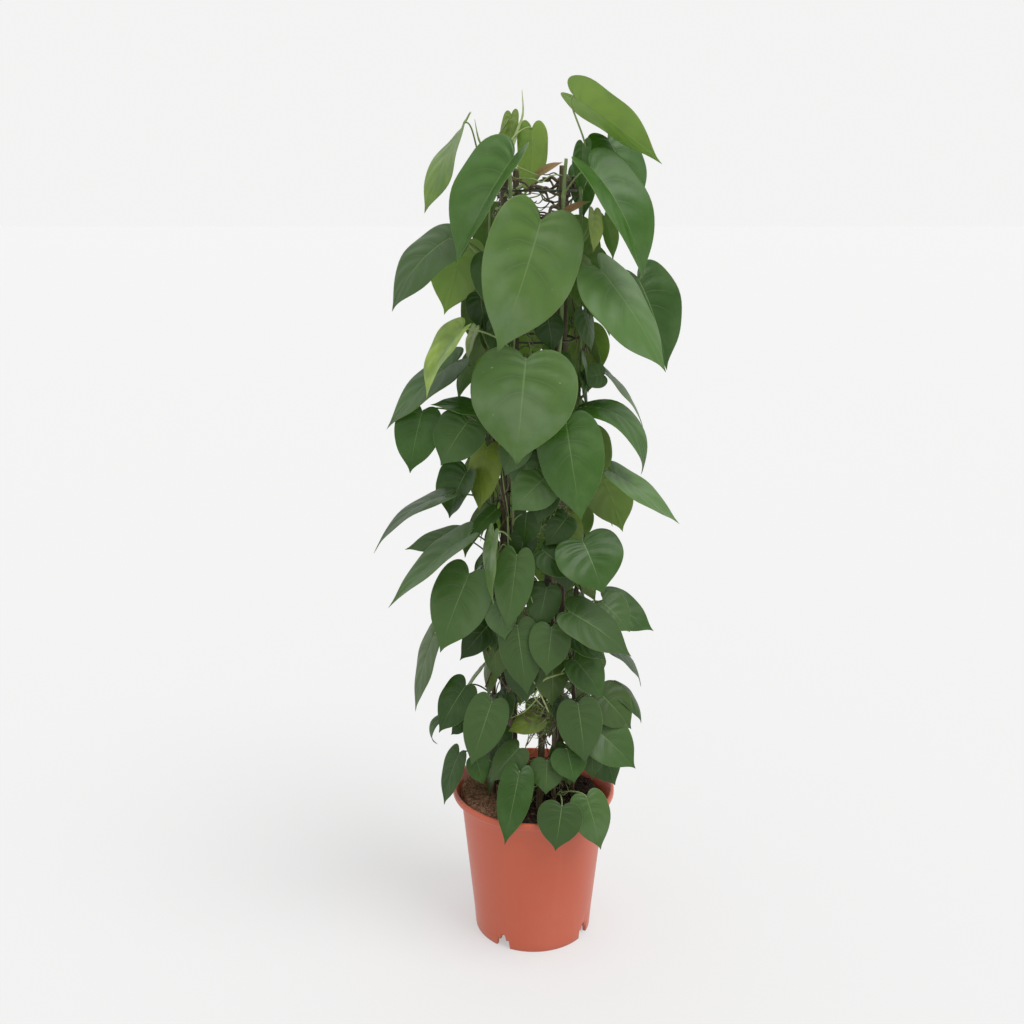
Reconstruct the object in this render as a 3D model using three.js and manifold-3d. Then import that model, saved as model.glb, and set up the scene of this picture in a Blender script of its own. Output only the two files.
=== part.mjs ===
// Heartleaf philodendron grown up a rack of bamboo canes, in a plastic nursery pot.
// Millimetres, +Z up, the pot's axis on Z and its foot on z = 0. The front is -Y.

import * as THREE from "three";
import Module from "manifold-3d";

const wasm = await Module();
wasm.setup();

// Pot sizes
const RIM_RADIUS = 120;
const POT_HEIGHT = 228;
const FOOT_RADIUS = 87;
const WALL = 2.6;
const LIP_HEIGHT = 12;
const LIP_OVERHANG = 11;
const FLOOR_UNDERSIDE = 14;
const PAD_RADIUS = 30;
const NOTCH_WIDTH = 21;
const NOTCH_HEIGHT = 12;
const NOTCH_TURN = 30;
const POT_SIDES = 36;

// Soil sizes
const SOIL_LEVEL = 207;
const SOIL_MOUND = 5;
const COIR_RISE = 15;
const GAP = 0.3;
const SIDE_GAP = 0.37;

// Rack sizes
const CANE_RADIUS = 5;
const CANE_NODE_RADIUS = 5.8;
const CANE_FOOT = 40;
const CANE_SIDES = 6;
const HOOP_WIRE_RADIUS = 1.5;
const HOOP_RADIUS = 52.1;

// Stem, petiole and blade sizes
const STEM_RADIUS = 3.3;
const STEM_FOOT = 150;
const STEM_SIDES = 5;
const PETIOLE_RADIUS = 1.3;
const BLADE_THICKNESS = 0.8;
const SMALLEST_FACET = 0.2;

// The point the plant is read from, in front of the pot's axis
const EYE_DISTANCE = 1600;
const EYE_HEIGHT = 1080;

// Colours
const TERRACOTTA = 0xc2604a;
const COMPOST = 0x2a211c;
const BAMBOO = 0x8a7448;
const WIRE = 0x2e3029;
const LEAF_GREEN = 0x4c7d3a;

const radians = THREE.MathUtils.degToRad;

// A place is [across, up, forward]: across and up are read on the upright plane through the
// pot's axis as it is seen from the eye point, and forward slides the place along that sight
// line, towards the front when it is positive.
function place([across, up, forward]) {
  const share = (EYE_DISTANCE - forward) / EYE_DISTANCE;
  return new THREE.Vector3(across * share, -forward, EYE_HEIGHT + (up - EYE_HEIGHT) * share);
}

// A number from 0 to 1 that is always the same for the same seed.
function draw(seed) {
  const wide = Math.sin(seed * 12.9898 + 4.1414) * 43758.5453;
  return wide - Math.floor(wide);
}

// A closed solid from corner points and triangles; corners that meet are made one.
function solidFrom(points, triangles) {
  const geometry = new THREE.BufferGeometry().setFromPoints(points);
  geometry.setIndex(triangles);
  return solid(geometry);
}

function solid(geometry) {
  const places = new Map();
  const corners = [];
  const source = geometry.getAttribute("position");
  const merged = [];
  for (let i = 0; i < source.count; i += 1) {
    const corner = [source.getX(i), source.getY(i), source.getZ(i)];
    const key = corner.map((value) => Math.round(value * 5000)).join(" ");
    if (!places.has(key)) {
      places.set(key, corners.length / 3);
      corners.push(...corner);
    }
    merged.push(places.get(key));
  }
  const order = geometry.index ? Array.from(geometry.index.array) : merged.map((_, i) => i);
  const triangles = [];
  for (let i = 0; i < order.length; i += 3) {
    const [a, b, c] = [merged[order[i]], merged[order[i + 1]], merged[order[i + 2]]];
    if (a !== b && b !== c && c !== a) triangles.push(a, b, c);
  }
  return new wasm.Manifold(
    new wasm.Mesh({
      numProp: 3,
      vertProperties: new Float32Array(corners),
      triVerts: new Uint32Array(triangles),
    }),
  );
}

function geometryOf(body) {
  const mesh = body.getMesh();
  const corners = [];
  for (let i = 0; i < mesh.numVert; i += 1) {
    corners.push(...mesh.vertProperties.subarray(i * mesh.numProp, i * mesh.numProp + 3));
  }
  const geometry = new THREE.BufferGeometry();
  geometry.setAttribute("position", new THREE.Float32BufferAttribute(corners, 3));
  geometry.setIndex(Array.from(mesh.triVerts));
  return geometry;
}

// A turned shape about Z from a closed profile of [radius, height] points, inside edge first.
function turned(profile, sides) {
  const points = profile.map(([radius, height]) => new THREE.Vector2(radius, height));
  const geometry = new THREE.LatheGeometry([...points, points[0].clone()], sides);
  return solid(geometry.rotateX(Math.PI / 2));
}

// A round bar through a row of points, with a radius at each, closed at both ends.
function bar(points, radii, sides) {
  const rings = [];
  let side = new THREE.Vector3(0.31, 0.87, 0.38);
  points.forEach((point, i) => {
    const before = points[Math.max(i - 1, 0)];
    const after = points[Math.min(i + 1, points.length - 1)];
    const along = after.clone().sub(before).normalize();
    side = side.clone().addScaledVector(along, -side.dot(along)).normalize();
    const across = along.clone().cross(side);
    for (let k = 0; k < sides; k += 1) {
      const angle = (2 * Math.PI * k) / sides;
      rings.push(
        point
          .clone()
          .addScaledVector(side, radii[i] * Math.cos(angle))
          .addScaledVector(across, radii[i] * Math.sin(angle)),
      );
    }
  });
  const triangles = [];
  for (let i = 0; i + 1 < points.length; i += 1) {
    for (let k = 0; k < sides; k += 1) {
      const a = i * sides + k;
      const b = i * sides + ((k + 1) % sides);
      triangles.push(a, b, b + sides, a, b + sides, a + sides);
    }
  }
  const last = (points.length - 1) * sides;
  for (let k = 1; k + 1 < sides; k += 1) {
    triangles.push(0, k + 1, k);
    triangles.push(last, last + k, last + k + 1);
  }
  return solidFrom(rings, triangles);
}

// Pot: a tapered wall with an overhanging lip, a raised floor that dips to a pad in the middle,
// and four notches in its foot
function makePot() {
  const shoulder = POT_HEIGHT - LIP_HEIGHT;
  const neck = RIM_RADIUS - LIP_OVERHANG;
  const body = turned(
    [
      [0, 0],
      [PAD_RADIUS, 0],
      [PAD_RADIUS + 6, FLOOR_UNDERSIDE],
      [FOOT_RADIUS - WALL - 3, FLOOR_UNDERSIDE],
      [FOOT_RADIUS - WALL - 2, 0],
      [FOOT_RADIUS, 0],
      [FOOT_RADIUS + 1.5, 20],
      [neck - 3.2, shoulder - 22],
      [neck - 1.4, shoulder - 5],
      [neck + 2.4, shoulder],
      [RIM_RADIUS, shoulder + 3],
      [RIM_RADIUS, POT_HEIGHT - 1.6],
      [RIM_RADIUS - 1.6, POT_HEIGHT],
      [RIM_RADIUS - 4.2, POT_HEIGHT],
      [neck - 0.6, shoulder - 1],
      [neck - 3.2 - WALL, shoulder - 24],
      [FOOT_RADIUS + 1.5 - WALL, 22],
      [FOOT_RADIUS - WALL - 1, FLOOR_UNDERSIDE + WALL],
      [PAD_RADIUS + 4.6, FLOOR_UNDERSIDE + WALL],
      [PAD_RADIUS - 1.4, WALL],
      [0, WALL],
    ],
    POT_SIDES,
  );
  const cuts = [];
  for (let k = 0; k < 4; k += 1) {
    const turn = -radians(90 + NOTCH_TURN) + (k * Math.PI) / 2;
    const notch = new THREE.BoxGeometry(24, NOTCH_WIDTH, 2 * NOTCH_HEIGHT);
    cuts.push(solid(notch.translate(FOOT_RADIUS - 2, 0, 0).rotateZ(turn)));
    const slot = new THREE.BoxGeometry(16, 8, 14);
    cuts.push(solid(slot.translate(FOOT_RADIUS - 4, 0, 13).rotateZ(turn)));
  }
  return body.subtract(wasm.Manifold.union(cuts));
}

// Soil: fills the pot 0.3 mm clear of it, mounded, with a rise of coir at the front left
function soilHeight(x, y) {
  const radius = Math.hypot(x, y);
  const mound = SOIL_MOUND * (1 - (radius / 110) ** 2);
  const coir = COIR_RISE * Math.exp(-(((x + 62) / 34) ** 2) - ((y + 62) / 30) ** 2);
  const lumps = 1.4 * Math.sin(x / 11 + 2) * Math.sin(y / 13 - 1);
  return SOIL_LEVEL + mound + coir + lumps;
}

function makeSoil(holes) {
  const neck = RIM_RADIUS - LIP_OVERHANG;
  const shoulder = POT_HEIGHT - LIP_HEIGHT;
  const floorRadius = FOOT_RADIUS - WALL - 1.6 - GAP;
  const topRadius = neck - 3.2 - WALL - 1.6 - GAP;
  const rows = [0, 34, 66, 88].map((radius) => [radius, 0]);
  const profile = [
    [0, WALL + GAP],
    [PAD_RADIUS - 2, WALL + GAP],
    [PAD_RADIUS + 4, FLOOR_UNDERSIDE + WALL + GAP],
    [floorRadius, FLOOR_UNDERSIDE + WALL + GAP],
    [topRadius, shoulder - 26],
    [topRadius + 0.2, 0],
    ...rows.reverse(),
  ];
  const points = profile.map(([radius, height]) => new THREE.Vector2(radius, height));
  const geometry = new THREE.LatheGeometry([...points, points[0].clone()], 24);
  geometry.rotateX(Math.PI / 2);
  const corners = geometry.getAttribute("position");
  for (let i = 0; i < corners.count; i += 1) {
    const x = corners.getX(i);
    const y = corners.getY(i);
    if (Math.abs(corners.getZ(i)) < 1) corners.setZ(i, soilHeight(x, y));
  }
  return solid(geometry).subtract(wasm.Manifold.union(holes));
}

// Rack: four canes, each from its foot in the soil to its top, and the hoops round them
const CANES = [
  { foot: [4, -45], top: [34, -30], height: 1114 },
  { foot: [41, 20], top: [38, 25], height: 1104 },
  { foot: [-30, 34], top: [-27, 37], height: 1112 },
  { foot: [-44, -12], top: [-42, -18], height: 1098 },
];
const HOOP_HEIGHTS = [403, 562, 668, 891, 1083];

function caneEnds(cane, deeper) {
  const foot = new THREE.Vector3(cane.foot[0], cane.foot[1], CANE_FOOT);
  const top = new THREE.Vector3(cane.top[0], cane.top[1], cane.height);
  const down = foot.clone().sub(top).normalize();
  return [foot.addScaledVector(down, deeper), top];
}

function makeCane(cane, first) {
  const [foot, top] = caneEnds(cane, 0);
  const length = foot.distanceTo(top);
  const points = [foot.clone()];
  const radii = [CANE_RADIUS];
  for (let along = first; along < length - 20; along += 230) {
    [-6, 0, 5].forEach((step, k) => {
      points.push(foot.clone().lerp(top, (along + step) / length));
      radii.push(k === 1 ? CANE_NODE_RADIUS : CANE_RADIUS - 0.3);
    });
  }
  points.push(top.clone());
  radii.push(CANE_RADIUS - 0.5);
  return bar(points, radii, CANE_SIDES);
}

function caneHole(cane) {
  const [foot, top] = caneEnds(cane, GAP);
  const radius = CANE_RADIUS + SIDE_GAP;
  return bar([foot, top], [radius, radius], CANE_SIDES);
}

function makeHoop(height) {
  const hoop = new THREE.TorusGeometry(HOOP_RADIUS, HOOP_WIRE_RADIUS, 4, 20);
  return solid(hoop.translate(0, 0, height));
}

// Stems: each climbs outside the hoops, from [turn in degrees, height] at its foot to its top
const STEMS = {
  frontLeft: { turns: [-38, -26, -34], top: 1128 },
  frontRight: { turns: [30, 24, 38], top: 1122 },
  left: { turns: [-84, -78, -92], top: 1096 },
  right: { turns: [82, 88, 78], top: 1088 },
  rearLeft: { turns: [-140, -150, -138], top: 1066 },
  rearRight: { turns: [142, 150, 136], top: 1060 },
};
const STEM_PATH_RADIUS = 58.5;

// The middle of a stem at a height: upright in the soil, then winding slowly round the rack.
function stemAt(stem, height) {
  const share = Math.max(0, (height - 250) / (stem.top - 250));
  const [low, middle, high] = stem.turns;
  const swing = low * (1 - share) ** 2 + 2 * middle * share * (1 - share) + high * share ** 2;
  const sway = share * (1 - share) * Math.sin(share * 19 + low);
  const turn = radians(swing + 16 * sway);
  const radius = STEM_PATH_RADIUS + 2.2 * Math.sin(share * 23 + high) ** 2 * Math.min(1, share * 8);
  return new THREE.Vector3(radius * Math.sin(turn), -radius * Math.cos(turn), height);
}

function makeStem(stem) {
  const points = [];
  const radii = [];
  const steps = 16;
  for (let i = 0; i <= steps; i += 1) {
    const share = i / steps;
    const height = STEM_FOOT + (stem.top - STEM_FOOT) * share;
    points.push(stemAt(stem, height));
    radii.push(STEM_RADIUS * (1 - 0.35 * share));
  }
  return bar(points, radii, STEM_SIDES);
}

function stemHole(stem) {
  const foot = stemAt(stem, STEM_FOOT - GAP);
  const above = stemAt(stem, 245);
  const radius = STEM_RADIUS + SIDE_GAP;
  return bar([foot, above], [radius, radius], STEM_SIDES);
}

// Leaf outline, from the junction round one lobe to the tip: [along the midrib, half width]
const OUTLINE = [
  [-0.1, 0.24],
  [-0.1, 0.62],
  [0.04, 0.92],
  [0.3, 1],
  [0.62, 0.76],
  [0.85, 0.25],
];
const RIB_STEPS = [0, 0.33, 0.67];

// A point on a blade, and the way its upper side looks there. The midrib is an arc from the
// junction to the tip, the halves fold up from it and droop to the edge, and the edge waves.
function bladeAt(leaf, along, across) {
  const { from, rib, up, side, length, width, bend, fold, twist, phase } = leaf;
  const arc = (length * bend) / 2 / Math.sin(bend / 2);
  const radius = arc / bend;
  const angle = bend / 2 - bend * along;
  const forth = radius * (Math.sin(bend / 2) - Math.sin(angle));
  const rise = radius * (Math.cos(angle) - Math.cos(bend / 2));
  const normal = up.clone().multiplyScalar(Math.cos(angle)).addScaledVector(rib, -Math.sin(angle));
  const turn = twist * Math.min(Math.max(along, 0), 1);
  const over = side.clone().multiplyScalar(Math.cos(turn)).addScaledVector(normal, -Math.sin(turn));
  const high = side.clone().multiplyScalar(Math.sin(turn)).addScaledVector(normal, Math.cos(turn));
  const half = width / 2;
  const out = across * half;
  const soft = 0.12 * half;
  const spread = Math.sqrt(out * out + soft * soft) - soft;
  const wave = 0.035 * half * across * across * Math.sin(11 * along + phase + 2.2 * Math.sign(across));
  const lift = spread * Math.sin(fold) - (0.1 * out * out) / half + wave;
  return from
    .clone()
    .addScaledVector(rib, forth)
    .addScaledVector(up, rise)
    .addScaledVector(over, out * Math.cos(fold))
    .addScaledVector(high, lift);
}

function readLeaf([from, to, width, faces, tilt, bend, fold, twist], seed) {
  const start = Array.isArray(from) ? place(from) : from;
  const end = Array.isArray(to) ? place(to) : to;
  const rib = end.clone().sub(start);
  const length = rib.length();
  rib.normalize();
  const [turn, rise] = [radians(faces), radians(tilt)];
  const up = new THREE.Vector3(
    Math.cos(rise) * Math.sin(turn),
    -Math.cos(rise) * Math.cos(turn),
    Math.sin(rise),
  );
  up.addScaledVector(rib, -up.dot(rib)).normalize();
  return {
    from: start,
    rib,
    up,
    side: rib.clone().cross(up),
    length,
    width,
    bend: radians(bend),
    fold: radians(fold),
    twist: radians(twist),
    phase: 6.28 * draw(seed),
  };
}

// The corners and triangles of a blade, triangles alike on both faces. Corner 0 is the junction
// on the upper side and corner `count` the junction on the underside.
function bladeMesh(leaf) {
  const flat = [...RIB_STEPS.map((along) => [along, 0]), [1, 0]];
  const tip = RIB_STEPS.length;
  const [left, right] = [-1, 1].map((sign) =>
    OUTLINE.map(([along, across]) => flat.push([along, sign * across]) - 1),
  );
  const middle = flat.map(([along, across]) => bladeAt(leaf, along, across));
  const faces = [];
  [left, right].forEach((lobe) => {
    const edge = [...lobe, tip];
    const rib = [...RIB_STEPS.keys(), tip];
    let [i, j] = [0, 0];
    while (i + 1 < rib.length || j + 1 < edge.length) {
      const edgeNext = j + 1 < edge.length ? flat[edge[j + 1]][0] : 9;
      const ribNext = i + 1 < rib.length ? flat[rib[i + 1]][0] : 9;
      const corner = edgeNext <= ribNext ? edge[j + 1] : rib[i + 1];
      const face = [rib[i], edge[j], corner];
      if (new Set(face).size === 3) faces.push(lobe === left ? face.reverse() : face);
      if (edgeNext <= ribNext) j += 1;
      else i += 1;
    }
  });
  const normals = middle.map(() => new THREE.Vector3());
  faces.forEach(([a, b, c]) => {
    const normal = middle[b].clone().sub(middle[a]).cross(middle[c].clone().sub(middle[a]));
    [a, b, c].forEach((corner) => normals[corner].add(normal));
  });
  const count = middle.length;
  const reach = BLADE_THICKNESS / 2;
  const points = [reach, -reach].flatMap((offset) =>
    middle.map((point, i) => point.clone().addScaledVector(normals[i].normalize(), offset)),
  );
  const triangles = [];
  faces.forEach(([a, b, c]) => {
    triangles.push([a, b, c], [count + a, count + c, count + b]);
  });
  const border = [0, ...right, tip, ...[...left].reverse()];
  border.forEach((a, i) => {
    const b = border[(i + 1) % border.length];
    triangles.push([a, count + a, count + b], [a, count + b, b]);
  });
  return { points, triangles, count, left, right };
}

// A leaf: the blade's junction opens on the underside into a three-sided petiole, which runs back
// to its node inside the stem.
function makeLeaf(stem, leaf, drop) {
  const { points, triangles, count, left, right } = bladeMesh(leaf);
  let along = leaf.up.clone().multiplyScalar(-0.8).addScaledVector(leaf.rib, -0.6);
  const neck = points[count].clone().addScaledVector(along, 0.7 * PETIOLE_RADIUS);
  const node = Math.min(Math.max(leaf.from.z - drop, 232), stem.top - 4);
  const start = stemAt(stem, node);
  const outward = new THREE.Vector3(start.x, start.y, 0).normalize();
  const reach = start.distanceTo(neck);
  const low = start.clone().addScaledVector(outward, 0.28 * reach);
  low.z += 0.34 * reach;
  const high = neck.clone().addScaledVector(along, 0.18 * reach);
  const middles = new THREE.CubicBezierCurve3(neck, high, low, start).getPoints(3);
  const radii = [0.8, 0.9, 1, 1.3].map((share) => share * PETIOLE_RADIUS);
  let side = leaf.side.clone();
  const rings = middles.map((middle, i) => {
    if (i > 0) along = middles[Math.min(i + 1, 3)].clone().sub(middles[i - 1]).normalize();
    side = side.clone().addScaledVector(along, -side.dot(along)).normalize();
    const back = along.clone().cross(side);
    return [30, 150, 270].map((degrees) => {
      const angle = radians(degrees);
      const corner = middle.clone().addScaledVector(side, radii[i] * Math.cos(angle));
      return points.push(corner.addScaledVector(back, radii[i] * Math.sin(angle))) - 1;
    });
  });
  const [nearRight, nearLeft, nearTip] = rings[0];
  const after = new Map();
  const solidFaces = triangles.filter((face) => {
    const i = face.indexOf(count);
    if (i >= 0) after.set(face[(i + 1) % 3], face[(i + 2) % 3]);
    return i < 0;
  });
  const turns = new Map([
    [count + right[1], [nearTip, nearRight]],
    [0, [nearRight, nearLeft]],
    [count + left[1], [nearLeft, nearTip]],
  ]);
  let corner = count + right[1];
  let ring = nearTip;
  for (let i = 0; i < after.size; i += 1) {
    if (turns.has(corner)) {
      const [was, now] = turns.get(corner);
      solidFaces.push([was, corner, now]);
      ring = now;
    }
    solidFaces.push([ring, corner, after.get(corner)]);
    corner = after.get(corner);
  }
  rings.slice(1).forEach((outer, i) => {
    [0, 1, 2].forEach((k) => {
      const next = (k + 1) % 3;
      solidFaces.push([rings[i][k], rings[i][next], outer[next]], [rings[i][k], outer[next], outer[k]]);
    });
  });
  solidFaces.push(rings[3]);
  return solidFrom(points, solidFaces.flat());
}

// Leaves of each stem: where the petiole joins, the tip, width in mm, then in degrees the way the
// upper side faces (from the front, towards the right), its tilt up, the bend of the midrib, the
// fold of the halves and the twist, and where it is not the usual one, the drop to its node.
const PETIOLE_DROP = 34;
const LEAVES = {
  frontLeft: [
    [[-6, 1160, 12], [-16, 1074, 16], 54, 138, 15, 30, 8, 0],
    [[-30, 1126, 75], [-107, 988, 97], 112, -44, 25, 18, 36, 0],
    [[2, 1104, 30], [34, 1119, 34], 13, 0, 40, 20, 20, 0, -6],
    [[6, 1045, 98], [-52, 870, 118], 130, 22, 22, 25, 20, 1],
    [[-58, 1000, 66], [-28, 912, 74], 70, -10, 25, 30, -5, 0],
    [[-99, 903, 72], [-149, 808, 80], 98, -70, 30, 38, 16, 0],
    [[-13, 862, 112], [-25, 714, 132], 138, -3, 25, 25, -6, 0],
    [[-93, 776, 70], [-131, 714, 78], 74, -18, 25, 30, 8, 0],
    [[-58, 615, 114], [-58, 509, 120], 72, -76, 20, 25, 8, 0],
    [[-25, 584, 88], [-38, 470, 100], 54, 0, 25, 25, -6, 0],
    [[-93, 556, 66], [-136, 436, 76], 86, -12, 25, 30, -6, 0],
    [[-50, 512, 80], [-42, 456, 88], 46, 0, 25, 20, -5, 0],
    [[-24, 478, 85], [-9, 370, 98], 60, -5, 20, 25, -8, 0],
    [[-62, 358, 82], [-93, 256, 95], 60, 0, 25, 30, -6, 0],
    [[10, 336, 62], [-38, 312, 70], 38, 0, 45, 25, 5, 0],
    [[-22, 285, 74], [-66, 229, 84], 46, -15, 35, 20, -6, 0],
    [[-85, 268, 70], [-75, 225, 75], 34, 10, 20, 20, 5, 0],
    [[-21, 246, 100], [-43, 124, 134], 49, 0, 20, 35, -6, 0],
  ],
  frontRight: [
    [[71, 1112, 72], [143, 966, 90], 98, 40, 28, 46, 28, 0],
    [[38, 1056, 60], [71, 1070, 66], 12, 10, 40, 25, 20, 0],
    [[43, 774, 88], [66, 634, 108], 88, -8, 25, 30, -8, 0],
    [[13, 697, 78], [-33, 649, 92], 62, 0, 30, 25, -5, 0],
    [[45, 640, 62], [15, 598, 72], 42, 0, 25, 25, 5, 0],
    [[68, 606, 72], [98, 527, 100], 98, 15, 28, 30, 12, 0],
    [[12, 592, 70], [60, 550, 85], 48, 10, 30, 25, 5, 0],
    [[51, 500, 90], [141, 432, 98], 76, 35, 50, 25, 6, 0],
    [[25, 475, 92], [18, 400, 104], 58, 5, 25, 25, -6, 0],
    [[50, 468, 60], [105, 425, 64], 46, 30, 60, 15, 5, 0],
    [[60, 426, 60], [101, 366, 68], 62, 36, 30, 30, 14, 0],
    [[65, 356, 88], [77, 262, 100], 64, 5, 25, 25, -6, 0],
    [[86, 292, 60], [88, 235, 66], 36, 15, 20, 20, 5, 0],
    [[50, 283, 88], [62, 229, 100], 52, 5, 25, 25, -8, 0],
    [[20, 265, 80], [19, 209, 98], 50, 0, 30, 25, -6, 0],
    [[80, 206, 104], [103, 118, 122], 58, 15, 20, 25, -6, 0],
    [[43, 190, 122], [34, 115, 142], 64, 0, 10, 15, -6, 0],
  ],
  left: [
    [[-33, 1177, -15], [-34, 1122, -10], 42, -56, 20, 15, 8, 0],
    [[-93, 1168, 10], [-147, 1054, 5], 96, -88, 20, 15, 4, -45],
    [[-112, 1024, 35], [-193, 926, 40], 106, -50, 35, 50, 4, 0],
    [[-96, 1015, -25], [-123, 922, -20], 78, 165, 20, 20, -8, 0],
    [[-74, 948, 10], [-66, 898, 15], 46, -20, 20, 25, 8, 0],
    [[-80, 905, 15], [-92, 858, 15], 44, -72, 20, 25, 10, 0],
    [[-107, 860, 18], [-205, 765, 22], 96, -60, 45, 25, 8, 0],
    [[-72, 793, 45], [-144, 800, 60], 60, -10, 75, 12, 10, 0],
    [[-155, 790, 30], [-174, 703, 35], 68, -15, 20, 25, 8, 0],
    [[-66, 740, 30], [-78, 648, 35], 54, -30, 20, 25, -5, 0],
    [[-95, 706, 28], [-120, 638, 34], 80, -38, 45, 30, 28, 0],
    [[-125, 672, 72], [-228, 586, 76], 72, -84, 40, 50, 8, 0],
    [[-56, 650, 55], [-92, 610, 60], 32, -30, 50, 20, 5, 0],
    [[-104, 614, 8], [-184, 592, 10], 52, -45, 55, 12, 5, 0],
    [[-96, 612, 65], [-210, 504, 70], 80, -72, 42, 18, 14, 0],
    [[-62, 484, 25], [-108, 424, 28], 46, -20, 30, 20, 8, 0],
    [[-145, 463, 5], [-174, 343, 5], 72, -68, 25, 18, 4, 0],
    [[-100, 384, 50], [-140, 309, 58], 64, -42, 25, 18, 6, 0],
    [[-134, 335, 15], [-142, 291, 15], 24, -70, 30, 130, 5, 0],
    [[-101, 328, 30], [-122, 306, 32], 24, -30, 40, 30, 5, 0],
    [[-111, 276, 40], [-134, 191, 45], 48, -52, 20, 20, 6, 0],
  ],
  right: [
    [[48, 1200, 42], [163, 1116, 48], 94, 129, 48, 8, 17, 0],
    [[92, 1148, 0], [126, 1047, 6], 84, 28, 35, 45, 6, 0],
    [[60, 1141, 20], [62, 1082, 30], 38, -55, 20, 20, 8, 0],
    [[76, 1056, 25], [75, 1003, 30], 40, 60, 20, 20, 10, 0],
    [[90, 1050, -15], [102, 994, -10], 44, 120, 20, 20, 10, 0],
    [[86, 982, 70], [177, 845, 75], 110, 45, 30, 18, -6, 0],
    [[135, 972, -25], [178, 848, -25], 112, 40, 25, 25, 18, 0],
    [[98, 844, -20], [148, 770, -20], 70, 86, 35, 30, 5, 0],
    [[92, 842, 5], [56, 836, 10], 36, 0, 25, 20, 5, 0],
    [[70, 798, 40], [147, 702, 55], 72, 62, 30, 120, 5, 0],
    [[73, 764, 35], [90, 688, 40], 62, 160, 15, 25, -8, 0],
    [[108, 706, 48], [203, 632, 54], 72, 68, 40, 15, 8, 0],
    [[92, 702, 10], [124, 620, 14], 76, 165, 20, 20, -5, 0],
    [[58, 562, 40], [88, 515, 40], 36, 150, 20, 20, 5, 0],
    [[100, 518, 30], [172, 472, 32], 60, 35, 35, 15, 8, 0],
    [[98, 515, 55], [138, 470, 62], 62, 30, 35, 25, 5, 0],
    [[112, 445, 20], [156, 385, 22], 60, 90, 35, 60, 5, 0],
    [[122, 388, 24], [158, 327, 32], 44, 70, 35, 60, -10, 0],
    [[98, 374, 46], [144, 318, 52], 64, 18, 30, 25, 8, 0],
    [[88, 321, 62], [152, 254, 74], 72, 18, 30, 25, 12, 0],
    [[100, 286, 45], [122, 226, 50], 58, 30, 30, 25, -6, 0],
  ],
  rearLeft: [
  ],
  rearRight: [
    [[57, 1110, -42], [62, 1048, -36], 40, 20, 25, 25, 8, 0],
    [[66, 903, -62], [85, 838, -58], 62, 168, 15, 25, -8, 0],
  ],
};

// Leaves of the rear, out of sight from the front: they step down the plant and turn by the golden
// angle, larger towards the top, and each hangs outside the one below it. The places counted as
// bare have no leaf, because leaves of the sides already reach round into them.
const REAR_LEAVES = 42;
const REAR_SEED = 300.81;
const REAR_TURN = 0.69;
const REAR_BARE = [2, 7, 12];
function rearLeaf(k) {
  const pick = (row) => draw(10 * k + row + REAR_SEED);
  const share = 1 - k / (REAR_LEAVES - 1);
  const turn = 180 + 76 * (2 * ((k * 0.618 + REAR_TURN) % 1) - 1);
  const height = 308 + share * (812 - 70 * Math.cos(radians(turn - 180)));
  const out = 80 + 4 * pick(1);
  const length = 70 + 48 * share + 18 * pick(2);
  const at = (degrees, radius, z) =>
    new THREE.Vector3(radius * Math.sin(radians(degrees)), -radius * Math.cos(radians(degrees)), z);
  const from = at(turn, out, height);
  const tip = at(turn + 10 * (pick(3) - 0.5), out + 30 + 14 * pick(4), height - 0.92 * length);
  const width = length * (0.74 + 0.1 * pick(5));
  const facing = turn + 16 * (pick(6) - 0.5);
  const row = [from, tip, width, facing, 26, 20 + 14 * pick(7), 8 * pick(8) - 8, 0];
  return { row, rightSide: turn < 180 };
}

// Young shoots still rolled up: each rises from the top of its stem through these places
const SHOOTS = {
  frontLeft: [[-27, 1152, 36], [-18, 1178, 30], [-19, 1208, 26]],
  left: [[-66, 1128, 0], [-75, 1148, 4], [-80, 1172, 6]],
};

function makeShoot(stem, places) {
  const points = [stemAt(stem, stem.top - 8), ...places.map(place)];
  return bar(points, [1.6, 2.2, 1.5, 0.4], 5);
}

function makeVine(name, rows, firstSeed) {
  const stem = STEMS[name];
  const parts = [makeStem(stem)];
  if (SHOOTS[name]) parts.push(makeShoot(stem, SHOOTS[name]));
  rows.forEach((row, i) => {
    const leaf = readLeaf(row, firstSeed + i);
    parts.push(makeLeaf(stem, leaf, row[8] ?? PETIOLE_DROP));
  });
  return wasm.Manifold.union(parts).simplify(SMALLEST_FACET);
}

for (let k = 0; k < REAR_LEAVES; k += 1) {
  if (REAR_BARE.includes(k)) continue;
  const { row, rightSide } = rearLeaf(k);
  LEAVES[rightSide ? "rearRight" : "rearLeft"].push(row);
}

// Assembly
const plant = new THREE.Group();

function add(name, body, colour, roughness) {
  const material = new THREE.MeshStandardMaterial({ color: colour, roughness, metalness: 0 });
  const mesh = new THREE.Mesh(geometryOf(body), material);
  mesh.name = name;
  plant.add(mesh);
}

const holes = [...CANES.map(caneHole), ...Object.values(STEMS).map(stemHole)];

add("pot", makePot(), TERRACOTTA, 0.42);
add("soil", makeSoil(holes), COMPOST, 0.95);
CANES.forEach((cane, i) => {
  add(`cane_${i + 1}`, makeCane(cane, 200 + 52 * i), BAMBOO, 0.6);
});
HOOP_HEIGHTS.forEach((height, i) => {
  add(`hoop_${i + 1}`, makeHoop(height), WIRE, 0.5);
});
Object.entries(LEAVES).forEach(([name, rows], i) => {
  add(`vine_${name}`, makeVine(name, rows, 100 * i + 1), LEAF_GREEN, 0.45);
});

export default plant;
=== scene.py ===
# Heartleaf philodendron on a rack of bamboo canes, in a terracotta plastic pot.
# Leaves and stems are worked out from the same readings as the frame, only finer.
import math

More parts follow.
